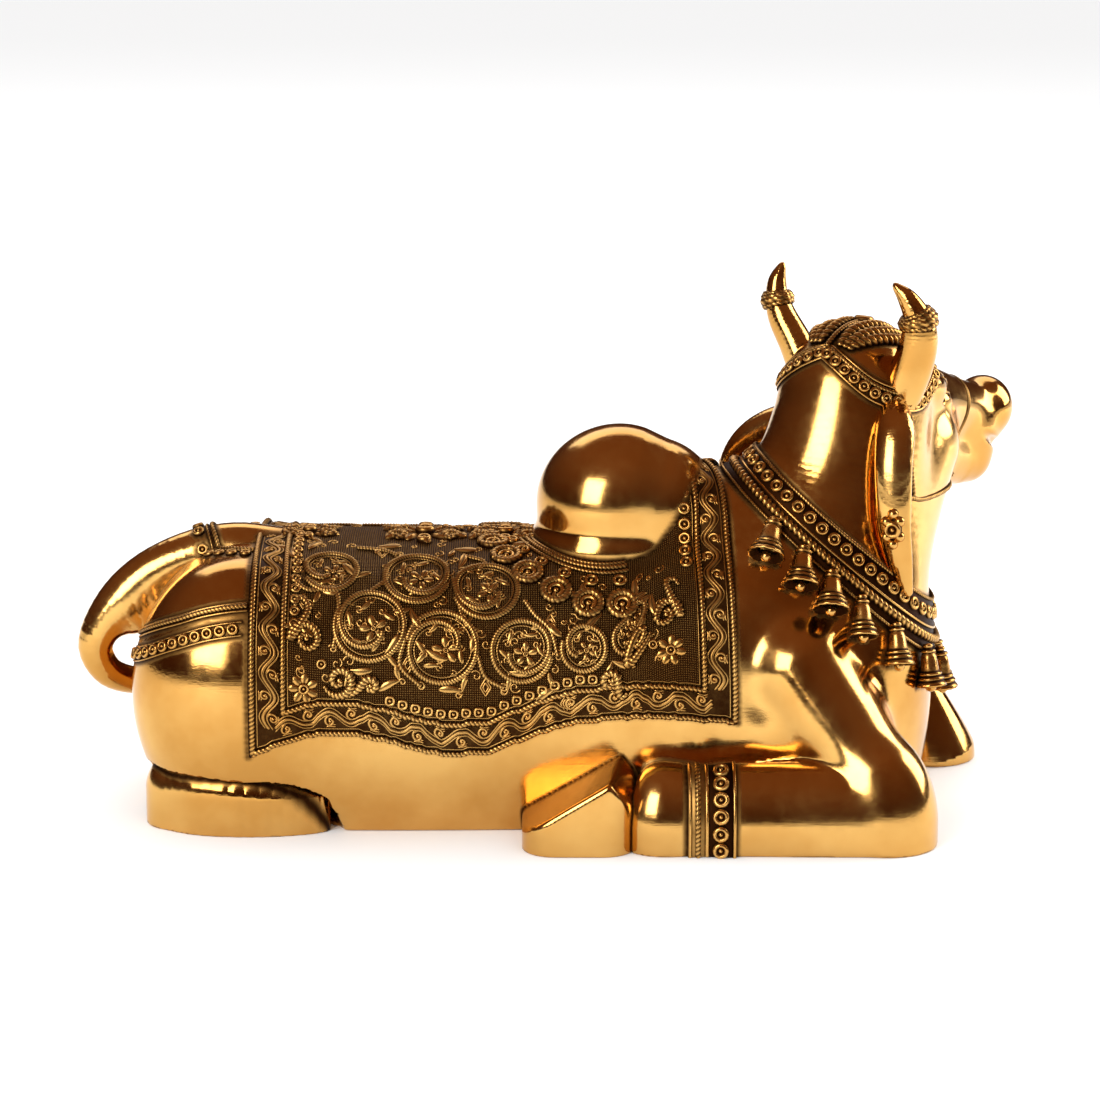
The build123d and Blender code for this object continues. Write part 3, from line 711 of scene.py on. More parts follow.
# Scene -----------------------------------------------------------------


def add_camera():
    """The photographer's view: side on, a little from above, through a long lens."""
    target = ORIGIN + np.array([-2.1, 0.0, 101.7])
    distance, elevation = 1500.0, math.radians(13)
    place = target + distance * np.array([0.0, -math.cos(elevation), math.sin(elevation)])
    data = bpy.data.cameras.new("camera")
    data.lens = 36.0 * distance / 440.0
    data.sensor_width = 36.0
    data.clip_end = 20.0
    camera = bpy.data.objects.new("camera", data)
    camera.location = Vector(place * MM)
    camera.rotation_euler = (math.radians(90) - elevation, 0.0, 0.0)
    bpy.context.scene.collection.objects.link(camera)
    bpy.context.scene.camera = camera


# Materials -------------------------------------------------------------

GOLD = (0.71, 0.41, 0.12, 1)
DEEP_GOLD = (0.56, 0.28, 0.065, 1)
# The dark of patina in recesses, also painted shade on the skin beside the ornament and in the folds
PATINA_AND_SHADE = (0.030, 0.0095, 0.0025, 1)


WEAVE_SCALE = 0.36  # wave scale for cells 0.85 mm across, on coordinates in millimetres


def node(tree, kind, **inputs):
    """A shader node with its sockets set by name."""
    made = tree.nodes.new(kind)
    for name, value in inputs.items():
        made.inputs[name.replace("_", " ")].default_value = value
    return made


def mix_colour(tree, factor, a, b):
    """A colour mix; each colour is a constant or another node's output."""
    mix = tree.nodes.new("ShaderNodeMix")
    mix.data_type = "RGBA"
    tree.links.new(factor, mix.inputs[0])
    for socket, value in ((mix.inputs[6], a), (mix.inputs[7], b)):
        if isinstance(value, tuple):
            socket.default_value = value
        else:
            tree.links.new(value, socket)
    return mix.outputs[2]


def to_range(tree, value, low, high, from_low=0.0, from_high=1.0):
    """A value scaled to a range."""
    made = tree.nodes.new("ShaderNodeMapRange")
    made.inputs[1].default_value, made.inputs[2].default_value = from_low, from_high
    made.inputs[3].default_value, made.inputs[4].default_value = low, high
    tree.links.new(value, made.inputs[0])
    return made.outputs[0]


def maths(tree, operation, a, b):
    made = tree.nodes.new("ShaderNodeMath")
    made.operation = operation
    for socket, value in zip(made.inputs, (a, b)):
        if isinstance(value, (int, float)):
            socket.default_value = value
        else:
            tree.links.new(value, socket)
    return made.outputs[0]


def brass(name, polish, mottle, weave=False):
    """Brass with mottled patina where the crest value is low, which on the skin is also painted shade; polish
    is its roughness on the ridges.
    """
    material = bpy.data.materials.new(name)
    material.use_nodes = True
    tree = material.node_tree
    shader = tree.nodes["Principled BSDF"]
    shader.inputs["Metallic"].default_value = 1.0
    place = tree.nodes.new("ShaderNodeTexCoord").outputs["Object"]

    def noise(scale, detail, rough=0.55):
        made = node(tree, "ShaderNodeTexNoise", Scale=scale, Detail=detail, Roughness=rough)
        tree.links.new(place, made.inputs["Vector"])
        return made.outputs["Fac"]

    crest = tree.nodes.new("ShaderNodeAttribute")
    crest.attribute_name = "crest"
    crest = crest.outputs["Fac"]
    clouds, specks, grain = noise(24, 4), noise(260, 5, 0.7), noise(1400, 3)
    # The crest value, mottled: patina on the relief, patina and painted shade on the skin
    worn = maths(tree, "ADD", crest, to_range(tree, specks, -mottle, mottle))
    shine = tree.nodes.new("ShaderNodeMapRange")
    shine.interpolation_type = "SMOOTHSTEP"
    shine.inputs[1].default_value, shine.inputs[2].default_value = 0.2, 0.92
    tree.links.new(worn, shine.inputs[0])
    shine = shine.outputs[0]
    gold = mix_colour(tree, to_range(tree, clouds, 0, 1, 0.35, 0.65), DEEP_GOLD, GOLD)
    colour = mix_colour(tree, shine, PATINA_AND_SHADE, gold)
    tree.links.new(colour, shader.inputs["Base Color"])
    smear = to_range(tree, clouds, -0.04, 0.07, 0.3, 0.7)
    rough = maths(tree, "ADD", to_range(tree, shine, 0.55, polish), smear)
    rough = maths(tree, "ADD", rough, to_range(tree, specks, -0.03, 0.05, 0.35, 0.7))
    tree.links.new(rough, shader.inputs["Roughness"])

    # Fine scratches from polishing, each set along its own direction
    height = to_range(tree, grain, 0.0, 0.25)
    for turn, strength in (((0.3, 0.5, 0.2), 0.5), ((0.9, -0.4, 1.2), 0.4)):
        stretch = node(tree, "ShaderNodeMapping", Rotation=turn, Scale=(40, 900, 900))
        tree.links.new(place, stretch.inputs["Vector"])
        lines = node(tree, "ShaderNodeTexNoise", Scale=1.0, Detail=2.0)
        tree.links.new(stretch.outputs[0], lines.inputs["Vector"])
        height = maths(tree, "ADD", height, to_range(tree, lines.outputs["Fac"], 0.0, strength, 0.5, 0.75))
    bump = node(tree, "ShaderNodeBump", Strength=0.055, Distance=0.0003)
    tree.links.new(height, bump.inputs["Height"])
    if weave:
        plan = tree.nodes.new("ShaderNodeAttribute")
        plan.attribute_name = "plan"
        checks = []
        for direction in ("X", "Y"):
            wave = node(tree, "ShaderNodeTexWave", Scale=WEAVE_SCALE, Distortion=0.6, Detail=1.0)
            wave.bands_direction = direction
            tree.links.new(plan.outputs["Vector"], wave.inputs["Vector"])
            checks.append(wave.outputs["Fac"])
        cells = maths(tree, "MULTIPLY", checks[0], checks[1])
        cloth_bump = node(tree, "ShaderNodeBump", Strength=0.9, Distance=0.0005)
        tree.links.new(cells, cloth_bump.inputs["Height"])
        tree.links.new(bump.outputs[0], cloth_bump.inputs["Normal"])
        tree.links.new(cloth_bump.outputs[0], shader.inputs["Normal"])
        lit = mix_colour(tree, to_range(tree, cells, 0.0, 0.5, 0.1, 0.8), colour, gold)
        tree.links.new(lit, shader.inputs["Base Color"])
    else:
        tree.links.new(bump.outputs[0], shader.inputs["Normal"])
    return material


POLISHED = brass("polished brass", 0.13, 0.04)
RELIEF = brass("antique relief brass", 0.22, 0.14)
WOVEN = brass("antique woven brass", 0.30, 0.14, weave=True)
SKIN_SLOT, RELIEF_SLOT = "polished_brass", "antique_relief_brass"


# The saddle cloth and its ornament -------------------------------------

CLOTH_REAR, CLOTH_FRONT = -118.5, 71.0
CLOTH_THICK = 1.5
ROPE_R = 1.15
BAND = 11.8  # from the outer rope's middle to the inner rope's
SIDES = {"right": -1, "left": 1}
FLANKS = {side: Flank(side) for side in SIDES.values()}


def front_lean(v):
    """How far behind CLOTH_FRONT the cloth's front edge is: it leans back as it climbs the withers."""
    return 3.0 * np.clip(1 - v / 117.0, 0, 1) + 8.0 * np.exp(-np.asarray(v, float) / 12.0)


def on_cloth(side, a, v, height=0.0):
    """Points on the saddle cloth of one side, from the cloth's own coordinates."""
    share = np.clip((np.asarray(a, float) - 20.0) / (CLOTH_FRONT - 20.0), 0, 1)
    x = a - front_lean(v) * share * share * (3 - 2 * share)
    return FLANKS[side].at(x, v, CLOTH_THICK + np.asarray(height, float))


def hem(side, a):
    """How far down the cloth's lower edge is."""
    return FLANKS[side].hem_at(a)


def outline(inset, step=0.5):
    """The loop at one inset from the cloth's edge, over both sides, with its normals."""
    left, right = CLOTH_REAR + inset, CLOTH_FRONT - inset
    points, normals = [], []

    def run(side, a, v):
        p, n = on_cloth(side, a, v)
        points.append(p)
        normals.append(n)

    for side, forward in ((-1, True), (1, False)):
        first, last = (left, right) if forward else (right, left)
        down = np.arange(0.0, hem(side, first) - inset, step)
        run(side, np.full(len(down), first), down)
        along = np.linspace(first, last, int(abs(last - first) / step))
        run(side, along, hem(side, along) - inset)
        up = np.arange(hem(side, last) - inset - step, 0.0, -step)
        run(side, np.full(len(up), last), up)
    return np.concatenate(points), np.concatenate(normals)


def cloth_wire(casting, side, plan, radius, **style):
    """A wire on the cloth along a path of (a, v) points."""
    plan = even(plan, style.pop("step", 0.45))
    p, n = on_cloth(side, plan[:, 0], plan[:, 1])
    wire(casting, p, n, radius, **style)


def cloth_stamp(casting, template, side, spots, turns=0.0, size=1.0, height=0.0):
    """Templates on the cloth at (a, v) spots, each turned by an angle in degrees from straight ahead."""
    spots = np.atleast_2d(np.asarray(spots, float))
    turns = np.radians(np.broadcast_to(np.asarray(turns, float), len(spots)))
    p, n = on_cloth(side, spots[:, 0], spots[:, 1], height)
    ahead, _ = on_cloth(side, spots[:, 0] + 0.5 * np.cos(turns), spots[:, 1] + 0.5 * np.sin(turns), height)
    stamp(casting, template, p, n, ahead - p, size)


def taper(count, ends=0.25, peak=1.0):
    """Radii that thin out toward both ends of a wire."""
    t = np.linspace(0, 1, count)
    return peak * (ends + (1 - ends) * np.clip(np.minimum(t, 1 - t) * 5, 0, 1) ** 0.6)


def build_cloth():
    """The raised sheet under the ornament: brown and cross-hatched, with its edge turned down to the skin."""
    casting = Casting()
    for side in SIDES.values():
        a = np.arange(CLOTH_REAR - 0.6, CLOTH_FRONT + 0.7, 1.0)
        share = np.linspace(0, 1, 118)
        v = share[None, :] * (hem(side, a) + 0.6)[:, None]
        inside = np.minimum(np.minimum(a - a[0], a[-1] - a)[:, None], v[:, -1:] - v)
        height = np.where(inside < 0.1, -CLOTH_THICK - 0.6, 0.0)
        p, _ = on_cloth(side, np.broadcast_to(a[:, None], v.shape), v, height)
        edge = np.clip(inside / 2.0, 0, 1)
        band = np.clip((inside - BAND) / 1.5, 0, 1)
        crest = edge * (0.27 - 0.10 * band)
        plan = np.stack([np.broadcast_to(a[:, None], v.shape), v, np.zeros_like(v)], -1) * band[..., None]
        faces = lattice(len(a), v.shape[1])
        if side > 0:
            faces = faces[:, ::-1]
        casting.add(p, [faces], crest.ravel(), plan.reshape(-1, 3))
    casting.build("saddle_cloth_sheet", "saddle_cloth", material=WOVEN)


def build_ropes():
    for name, inset in (("outer", ROPE_R), ("inner", ROPE_R + BAND)):
        casting = Casting()
        p, n = outline(inset, 0.35)
        wire(casting, p, n, ROPE_R, sides=8, pitch=1.7, depth=0.13, lift=0.35)
        p, n = outline(inset + 1.9, 0.8)
        wire(casting, p, n, 0.32, sides=5, low=0.1, high=0.8)
        casting.build(f"saddle_{name}_rope_strands", f"saddle_{name}_rope")


def build_vine():
    """The running vine between the two ropes: a waved stem with a curl and leaf strokes in every bend."""
    casting = Casting()
    middle = (BAND + 2 * ROPE_R + 1.2) / 2
    wave, reach_out = 17.0, 2.3
    for side in SIDES.values():
        corner_v = {a: hem(side, a) for a in (CLOTH_REAR, CLOTH_FRONT)}
        runs = (
            (lambda s, o: (CLOTH_REAR + middle + o, s), 2.0, corner_v[CLOTH_REAR] - 14),
            (lambda s, o: (CLOTH_FRONT - middle - o, s), 2.0, corner_v[CLOTH_FRONT] - 14),
            (lambda s, o: (s, hem(side, s) - middle - o), CLOTH_REAR + 10, CLOTH_FRONT - 10),
        )
        for place_at, first, last in runs:
            count = max(round((last - first) / (wave / 2)), 2)
            bend = (last - first) / count
            s = np.linspace(first, last, int((last - first) * 3))

            def sway(at):
                return reach_out * np.sin(np.pi * (at - first) / bend)

            for shift, radius in ((0.0, 0.85), (1.5, 0.42), (-1.4, 0.36)):
                plan = np.column_stack(np.broadcast_arrays(*place_at(s, sway(s) + shift)))
                cloth_wire(casting, side, plan, radius, flat=0.85, step=0.6, lift=0.15, high=0.72)
            for k in range(count):
                heart = first + (k + 0.5) * bend
                lean = 1 if k % 2 == 0 else -1
                curl = spiral((heart, -lean * 1.5), 2.1, 0.5, 90 * lean, 1.25 * lean, 30)
                plan = np.column_stack(np.broadcast_arrays(*place_at(curl[:, 0], curl[:, 1])))
                radii = taper(len(even(plan, 0.5)), 0.4, 0.62)
                cloth_wire(casting, side, plan, radii, step=0.5, lift=0.1, high=0.8)
                for off in (2.6, 3.5):
                    bow = off + 0.35 * np.linspace(-1, 1, 8) ** 2
                    stroke = np.column_stack([heart + np.linspace(-1.6, 2.4, 8), -lean * bow])
                    plan = np.column_stack(np.broadcast_arrays(*place_at(stroke[:, 0], stroke[:, 1])))
                    cloth_wire(casting, side, plan, taper(len(even(plan, 0.5)), 0.3, 0.45), step=0.5)
                cloth_stamp(casting, BEAD, side, place_at(heart, -lean * 1.5), size=0.75)
    casting.build("saddle_running_vine", "saddle_vine")


def build_bosses():
    """The ringed bosses inside the border: a column at each end and a row of square ones along the hem."""
    casting = Casting()
    inner = 2 * ROPE_R + BAND + 3.0
    for side in SIDES.values():
        rear_v = np.arange(3.0, hem(side, CLOTH_REAR) - 52, 4.9)
        cloth_stamp(casting, BOSS, side, [(CLOTH_REAR + inner, v) for v in rear_v], size=2.25)
        front_v = np.arange(3.0, 56.0, 6.0)
        cloth_stamp(casting, BOSS, side, [(CLOTH_FRONT - inner - 1.0, v) for v in front_v], size=2.75)
        row = np.arange(-64.0, 18.0, 4.9)
        cloth_stamp(casting, SQUARE_BOSS, side, [(a, hem(side, a) - inner - 0.2) for a in row], size=2.15)
    casting.build("saddle_ringed_bosses", "saddle_bosses")


# Scrolls of the field: middle (a, v), radius, where the vine starts round it, and its turns (+ is clockwise)
SCROLLS = [
    ((-88, 36), 10.5, 150, -1.1), ((-72, 61), 13.5, 205, -1.5), ((-54, 39), 12.5, 20, 1.4),
    ((-44, 69), 13.5, 190, 1.5), ((-27, 45), 12.5, 160, -1.4), ((-13, 70), 11.5, 10, 1.45),
    ((11, 69), 8.5, 200, -1.2), ((29, 66), 6.5, 30, 1.3),
]
STEMS = [
    [(-101, 44), (-96, 47), (-86, 46), (-84, 58), (-86, 70)],
    [(-72, 47), (-66, 41), (-66, 34)],
    [(-58, 66), (-60, 76), (-52, 84)],
    [(-40, 40), (-38, 50), (-36, 58)],
    [(-30, 72), (-27, 80), (-20, 84)],
    [(-12, 50), (-8, 56), (-2, 62), (1, 72)],
    [(-78, 20), (-68, 22), (-62, 26)],
    [(-36, 26), (-28, 30), (-30, 36)],
]
DIAMONDS = [(-98, 52), (-68, 24), (-62, 50), (-57, 76), (-34, 57), (-27, 84), (-2, 59), (4, 90)]
LEAF_SPOTS = [
    ((-100, 60), 60), ((-92, 46), 20), ((-80, 78), 15), ((-60, 82), 170), ((-36, 86), 200),
    ((-30, 62), 120), ((0, 84), 160), ((-4, 58), 60), ((-78, 40), 250), ((-38, 34), 300),
    ((22, 74), 30), ((-70, 18), 10), ((-40, 20), 20), ((-8, 16), 200), ((38, 62), 100), ((18, 56), 150),
    ((-56, 54), 80), ((-104, 20), 100), ((-18, 78), 10), ((-66, 72), 320), ((10, 48), 200),
    ((-50, 70), 40), ((-92, 14), 140), ((30, 56), 320),
]


def flower(casting, side, spot, petals, length, width, turn=0.0, heart=1.1):
    for k in range(petals):
        angle = turn + 360.0 * k / petals
        start = (spot[0] + 0.8 * math.cos(math.radians(angle)), spot[1] + 0.8 * math.sin(math.radians(angle)))
        cloth_stamp(casting, leaf(length, width, 1.0), side, [start], angle)
    cloth_stamp(casting, BOSS, side, [spot], size=heart, height=0.35)


FIELD_ROPE = {"sides": 7, "depth": 0.2, "flat": 0.9, "step": 0.4, "lift": 0.25}


def build_field():
    """The open field: rope scrolls with a flower and leaves in each, stems, leaves and diamonds between."""
    casting = Casting()
    for side in SIDES.values():
        for n, (middle, radius, start, turns) in enumerate(SCROLLS):
            most = math.copysign(0.85, turns)
            ring = spiral(middle, radius, radius, start, most, 70)
            inward = spiral(middle, radius, radius * 0.42, start + 360 * most, turns - most, 50)
            plan = np.concatenate([ring, inward[1:]])
            for shift, r in ((0.0, 1.3), (1.9, 0.4)):
                outward = unit(plan - np.array(middle)) * shift
                cloth_wire(casting, side, plan - outward, r, pitch=1.15, **FIELD_ROPE)
            heart = (middle[0] + 0.12 * radius, middle[1] + 0.1 * radius)
            flower(casting, side, heart, 5, radius * 0.36, radius * 0.26, 40.0 * n)
            for angle in (20, 80, 150, 210, 285):
                turn = angle + 25 * n
                spot = (
                    middle[0] + 0.55 * radius * math.cos(math.radians(turn)),
                    middle[1] + 0.55 * radius * math.sin(math.radians(turn)),
                )
                spray = leaf(radius * 0.46, radius * 0.2, 1.2, bend=1.6)
                cloth_stamp(casting, spray, side, [spot], turn + 100)
                cloth_wire(casting, side, spiral(spot, 1.7, 0.4, turn, 1.1, 20), 0.36, step=0.5)
        for stem in STEMS:
            plan = spline(stem, 30)
            cloth_wire(casting, side, plan, 1.05, pitch=1.3, **FIELD_ROPE)
            cloth_wire(casting, side, spiral(stem[-1], 1.8, 0.4, 200, 1.2, 24), 0.5, step=0.5)
        for spot in DIAMONDS:
            for size in (3.4, 1.9):
                ways = ((0, 1), (1, 0), (0, -1), (-1, 0), (0, 1))
                corners = [(spot[0] + size * 0.62 * x, spot[1] + size * y) for x, y in ways]
                cloth_wire(casting, side, corners, 0.36, step=0.6)
        for spot, turn in LEAF_SPOTS:
            cloth_stamp(casting, leaf(9.0, 3.8, 1.5, bend=2.2), side, [spot], turn)
            cloth_stamp(casting, leaf(6.5, 2.8, 1.3, bend=-1.8), side, [spot], turn + 70)
        rng = np.random.default_rng(3)
        for _ in range(150):
            spot = (rng.uniform(-100, 46), rng.uniform(8, 92))
            if spot[1] < hem(side, spot[0]) - 22:
                curl = spiral(spot, rng.uniform(1.2, 2.4), 0.35, rng.uniform(0, 360), 1.1, 18)
                cloth_wire(casting, side, curl, 0.36, step=0.5)
    casting.build("saddle_field_scrolls", "saddle_scrolls")


def fat_scroll(casting, side, middle, radius, start, turns, tail=None):
    """A bold scroll in the corner: a thick curl with a ribbed back, and a tail that leads to it."""
    plan = spiral(middle, radius, 0.9, start, turns, 60)
    if tail is not None:
        plan = np.concatenate([spline([*tail, tuple(plan[0])], 24)[:-1], plan])
    count = len(even(plan, 0.4))
    radii = np.interp(np.linspace(0, 1, count), [0, 0.3, 0.75, 1], [0.8, 2.0, 1.6, 1.0])
    cloth_wire(casting, side, plan, radii, sides=9, pitch=1.6, depth=0.13, flat=1.1, step=0.4, lift=0.5)
    cloth_stamp(casting, BEAD, side, [middle], size=1.2, height=0.3)


def build_corners():
    """The scroll groups that fill the cloth's two lower corners."""
    casting = Casting()
    for side in SIDES.values():
        fat_scroll(casting, side, (-96.5, 67), 6.2, 170, 1.4, [(-101.5, 55), (-99, 51), (-96, 56)])
        fat_scroll(casting, side, (-83.5, 82), 6.2, 160, -1.4)
        fat_scroll(casting, side, (-71.5, 84), 3.0, 200, 1.0, [(-80, 88), (-77, 86)])
        cloth_stamp(casting, BOSS, side, [(-90.5, 76)], size=2.2, height=0.3)
        flower(casting, side, (-97.5, 86), 7, 5.2, 3.6, 20.0, 2.3)
        fat_scroll(casting, side, (43.5, 73), 5.6, 20, -1.4, [(49, 62), (47, 59), (44, 61)])
        fat_scroll(casting, side, (32, 75), 5.4, 20, 1.4)
        fat_scroll(casting, side, (21, 81.5), 3.2, -20, -1.1, [(28, 88), (25, 88)])
        cloth_stamp(casting, BOSS, side, [(38, 82)], size=2.1, height=0.3)
        flower(casting, side, (45, 87), 7, 5.2, 3.6, 20.0, 2.3)
    casting.build("saddle_corner_scroll_groups", "saddle_corner_scrolls")


# Leaves of a spine cluster: the way each points, its length, and how far from the middle it starts
SPINE_LEAVES = ((5, 8, 3), (175, 8, 3), (50, 8, 3), (130, 8, 3), (90, 9, 4), (25, 6, 9), (155, 6, 9))


def build_spine():
    """Leafy clusters that stand up along the spine."""
    casting = Casting()
    for a, size in ((-98.0, 0.85), (-52.0, 1.2), (-20.0, 1.1)):
        for side in SIDES.values():
            for turn, length, start in SPINE_LEAVES:
                x = start * math.cos(math.radians(turn))
                v = start * abs(math.sin(math.radians(turn)))
                blade = leaf(length, 4.4, 2.2, bend=1.2)
                cloth_stamp(casting, blade, side, [(a + x * size, v * size)], turn, size)
            for x in (-9.5, 9.5):
                fat_scroll(casting, side, (a + x * size, 5.0 * size), 3.2 * size, 90, math.copysign(1.2, x))
            cloth_stamp(casting, BOSS, side, [(a, 9.5 * size)], size=2.6 * size, height=0.8)
        cloth_stamp(casting, BOSS, 1, [(a, 0.0)], size=3.4 * size, height=1.2)
    casting.build("spine_leaf_clusters", "spine_rosettes")


# Rings round the hump --------------------------------------------------


def drop(field, x, y, top=150.0, bottom=20.0):
    """The height where something let fall at (x, y) lands on a field, with the normal there."""
    x, y = (np.asarray(v, float) for v in (x, y))
    z = np.full(x.shape, top)
    for _ in range(90):
        z = z - np.clip(field(np.column_stack([x, y, z])) * 0.8, -1.0, 4.0)
        z = np.maximum(z, bottom)
    p = np.column_stack([x, y, z])
    return p, unit(gradient(field, p))


def hump_ring(radius, angles):
    """Places round the hump at one radius from its axis, lying on the cloth."""
    t = np.radians(angles)
    p, n = drop(whole_field, HUMP_C[0] + radius * np.cos(t), radius * np.sin(t), 112.0)
    return p + n * CLOTH_THICK, n


PENDANT_ANGLES = np.array([180 + 16 * k for k in range(-6, 7)], float)


def build_hump_rings():
    ropes, bosses, pendants = Casting(), Casting(), Casting()
    arc = np.linspace(78, 282, 260)
    for radius, r in ((31.5, 0.8), (33.6, 1.2), (36.0, 0.9)):
        p, n = hump_ring(radius, arc)
        wire(ropes, even(p, 0.45), unit(even(p, 0.45, n)), r, sides=7, pitch=1.5, depth=0.15, lift=0.3)
    ropes.build("hump_rope_rings", "hump_rope_ring")
    p, n = hump_ring(39.8, PENDANT_ANGLES)
    stamp(bosses, BOSS, p, n, (0, 0, 1), 3.0)
    bosses.build("hump_ringed_bosses", "hump_ring_bosses")
    for angle in PENDANT_ANGLES:
        (p,), (n,) = hump_ring(47.5, [angle])
        (q,), _ = hump_ring(41.5, [angle])
        inward = unit(q - p)
        inward = unit(inward - n * (inward @ n))
        across = np.cross(n, inward)
        for radius, r, half, strands in ((5.0, 1.65, 180, 1.8), (2.7, 0.95, 150, 0.0)):
            t = np.radians(np.linspace(-half, half, 44))
            ring = p + radius * (np.cos(t)[:, None] * inward + np.sin(t)[:, None] * across) + n * 0.5
            wire(pendants, ring, np.broadcast_to(n, ring.shape), r, sides=8, pitch=strands, depth=0.12)
        stamp(pendants, BEAD, p + n * 0.2, n, inward, 1.2)
        stamp(pendants, leaf(4.4, 1.6, 1.2), p + n * 0.3, n, -inward, 1.0)
        disc = turned([(5.6, -0.6, 0.0), (5.4, 0.35, 0.1), (3.0, 0.35, 0.0), (0.0, 0.3, 0.0)], 24)
        stamp(pendants, disc, p, n, inward)
    pendants.build("hump_horseshoe_pendants", "hump_pendants")


# Rump: crescent over the tail's root, and the strap that runs round behind --------


def rump_field(p):
    return smin(whole_field(p), tail_field(p), 2.0)


def strap_line(points, side):
    """A path on the rump through a few points of the near side, mirrored for the far side."""
    return lay(whole_field, [(x, -side * y, z) for x, y, z in points], 0.45)


STRAP_ROPE = [(-164.5, -24, 74), (-160, -38, 78), (-148, -50, 85), (-134, -54, 90), (-119, -55, 93)]
STRAP_BOSSES = [(-165.5, -27, 66), (-160, -43, 70), (-148, -54, 77), (-134, -58, 82), (-121, -60, 85)]


def build_rump():
    strap, strap_bosses, crescent, croup = Casting(), Casting(), Casting(), Casting()
    for side in SIDES.values():
        p, n = strap_line(STRAP_ROPE, side)
        wire(strap, p, n, 1.0, sides=7, pitch=1.5, depth=0.15, lift=0.4)
        for drop_by in (2.2, -1.8):
            q, m = settle(whole_field, p - np.array([0, 0, drop_by]), 3)
            wire(strap, q, m, 0.45, sides=5, lift=0.2)
        p, n = strap_line(STRAP_BOSSES, side)
        at = np.arange(4, len(p) - 2, int(5.0 / 0.45))
        stamp(strap_bosses, BOSS, p[at] + n[at] * 0.3, n[at], (0, 0, 1), 2.5)
        for drop_by in (3.0, -3.0):
            q, m = settle(whole_field, p - np.array([0, 0, drop_by]), 3)
            wire(strap, q, m, 0.4, sides=5, lift=0.2)
    strap.build("breeching_strap_wires", "breeching_strap")
    strap_bosses.build("breeching_ringed_bosses", "breeching_bosses")
    turn = np.radians(np.linspace(96, 264, 150))
    for radius, r in ((20.5, 0.9), (22.6, 0.5)):
        p, n = drop(rump_field, CLOTH_REAR + 2 + radius * np.cos(turn), radius * np.sin(turn), 125.0)
        wire(crescent, p, n, r, sides=7, pitch=1.5, depth=0.15, lift=0.3)
    crescent.build("croup_crescent_ropes", "croup_crescent")
    turn = np.radians(np.linspace(102, 258, 13))
    p, n = drop(rump_field, CLOTH_REAR + 2 + 26.0 * np.cos(turn), 26.0 * np.sin(turn), 125.0)
    stamp(croup, BOSS, p + n * 0.3, n, (0, 0, 1), 2.4)
    croup.build("croup_ringed_bosses", "croup_bosses")


# Collar and bells ------------------------------------------------------


def collar_ring(up, angles):
    """Places round the neck in a plane parallel to the collar's; 0 is ahead and the near side is positive."""
    t = np.radians(angles)
    side = np.array([0.0, -1.0, 0.0])
    out = np.cos(t)[:, None] * COLLAR_FRONT + np.sin(t)[:, None] * side
    p = reach(whole_field, COLLAR_C + COLLAR_UP * up, out, 5, 90)
    return p, unit(gradient(whole_field, p, 0.5))


BELL_ANGLES = np.array([s * (9.4 + 20.8 * k) for s in (1, -1) for k in range(7)])
BELL_TALL = 17.0
BELL_ROWS = [
    (0.55, -0.86, 0.0), (0.90, -0.99, 0.2), (1.00, -1.0, 0.8), (1.02, -0.96, 1.0), (0.96, -0.92, 0.7),
    (0.88, -0.88, 0.15), (0.84, -0.86, 0.1), (0.90, -0.82, 0.9), (0.86, -0.785, 0.8),
    (0.74, -0.775, 0.1), (0.72, -0.74, 0.1), (0.80, -0.715, 0.9), (0.76, -0.68, 0.7),
    (0.66, -0.66, 0.15), (0.62, -0.60, 0.6), (0.57, -0.45, 1.0), (0.53, -0.32, 0.95),
    (0.46, -0.24, 0.6), (0.36, -0.21, 0.15), (0.52, -0.19, 0.9), (0.50, -0.155, 0.8),
    (0.28, -0.14, 0.15), (0.26, -0.10, 0.3), (0.36, -0.06, 1.0), (0.30, -0.015, 1.0), (0.0, 0.0, 0.8),
]


BALL_ROWS = [
    (0.3, -1.2, 0.2), (0.5, -0.9, 0.3), (0.95, -0.3, 0.7), (1.0, 0.0, 0.9), (0.85, 0.5, 1.0),
    (0.5, 0.85, 1.0), (0.0, 1.0, 1.0),
]


def bell_template(radius):
    """A cast bell with its mouth below the origin, notched round its rim like a rope."""
    rows = [(r * radius, h * BELL_TALL, c) for r, h, c in BELL_ROWS]
    points, faces, crest = turned(rows, 28)
    points, crest = points.copy(), crest.copy()
    turn = np.arctan2(points[:, 1], points[:, 0])
    rope = np.abs(points[:, 2] + 0.96 * BELL_TALL) < 0.06 * BELL_TALL
    bead = np.abs(points[:, 2] + 0.815 * BELL_TALL) < 0.05 * BELL_TALL
    notch = np.where(rope | bead, 1 + 0.035 * np.sign(np.cos(14 * turn)), 1.0)
    points[:, :2] *= notch[:, None]
    return points, faces, crest


# Where the collar band's surface is: up from the collar's plane, and out from the neck
COLLAR_EDGES = [
    (-1.2, -0.4), (-0.6, 1.1), (3.5, 1.3), (6.0, 1.0), (6.8, 1.5), (13.6, 1.5), (14.4, 1.1), (14.8, -0.4),
]


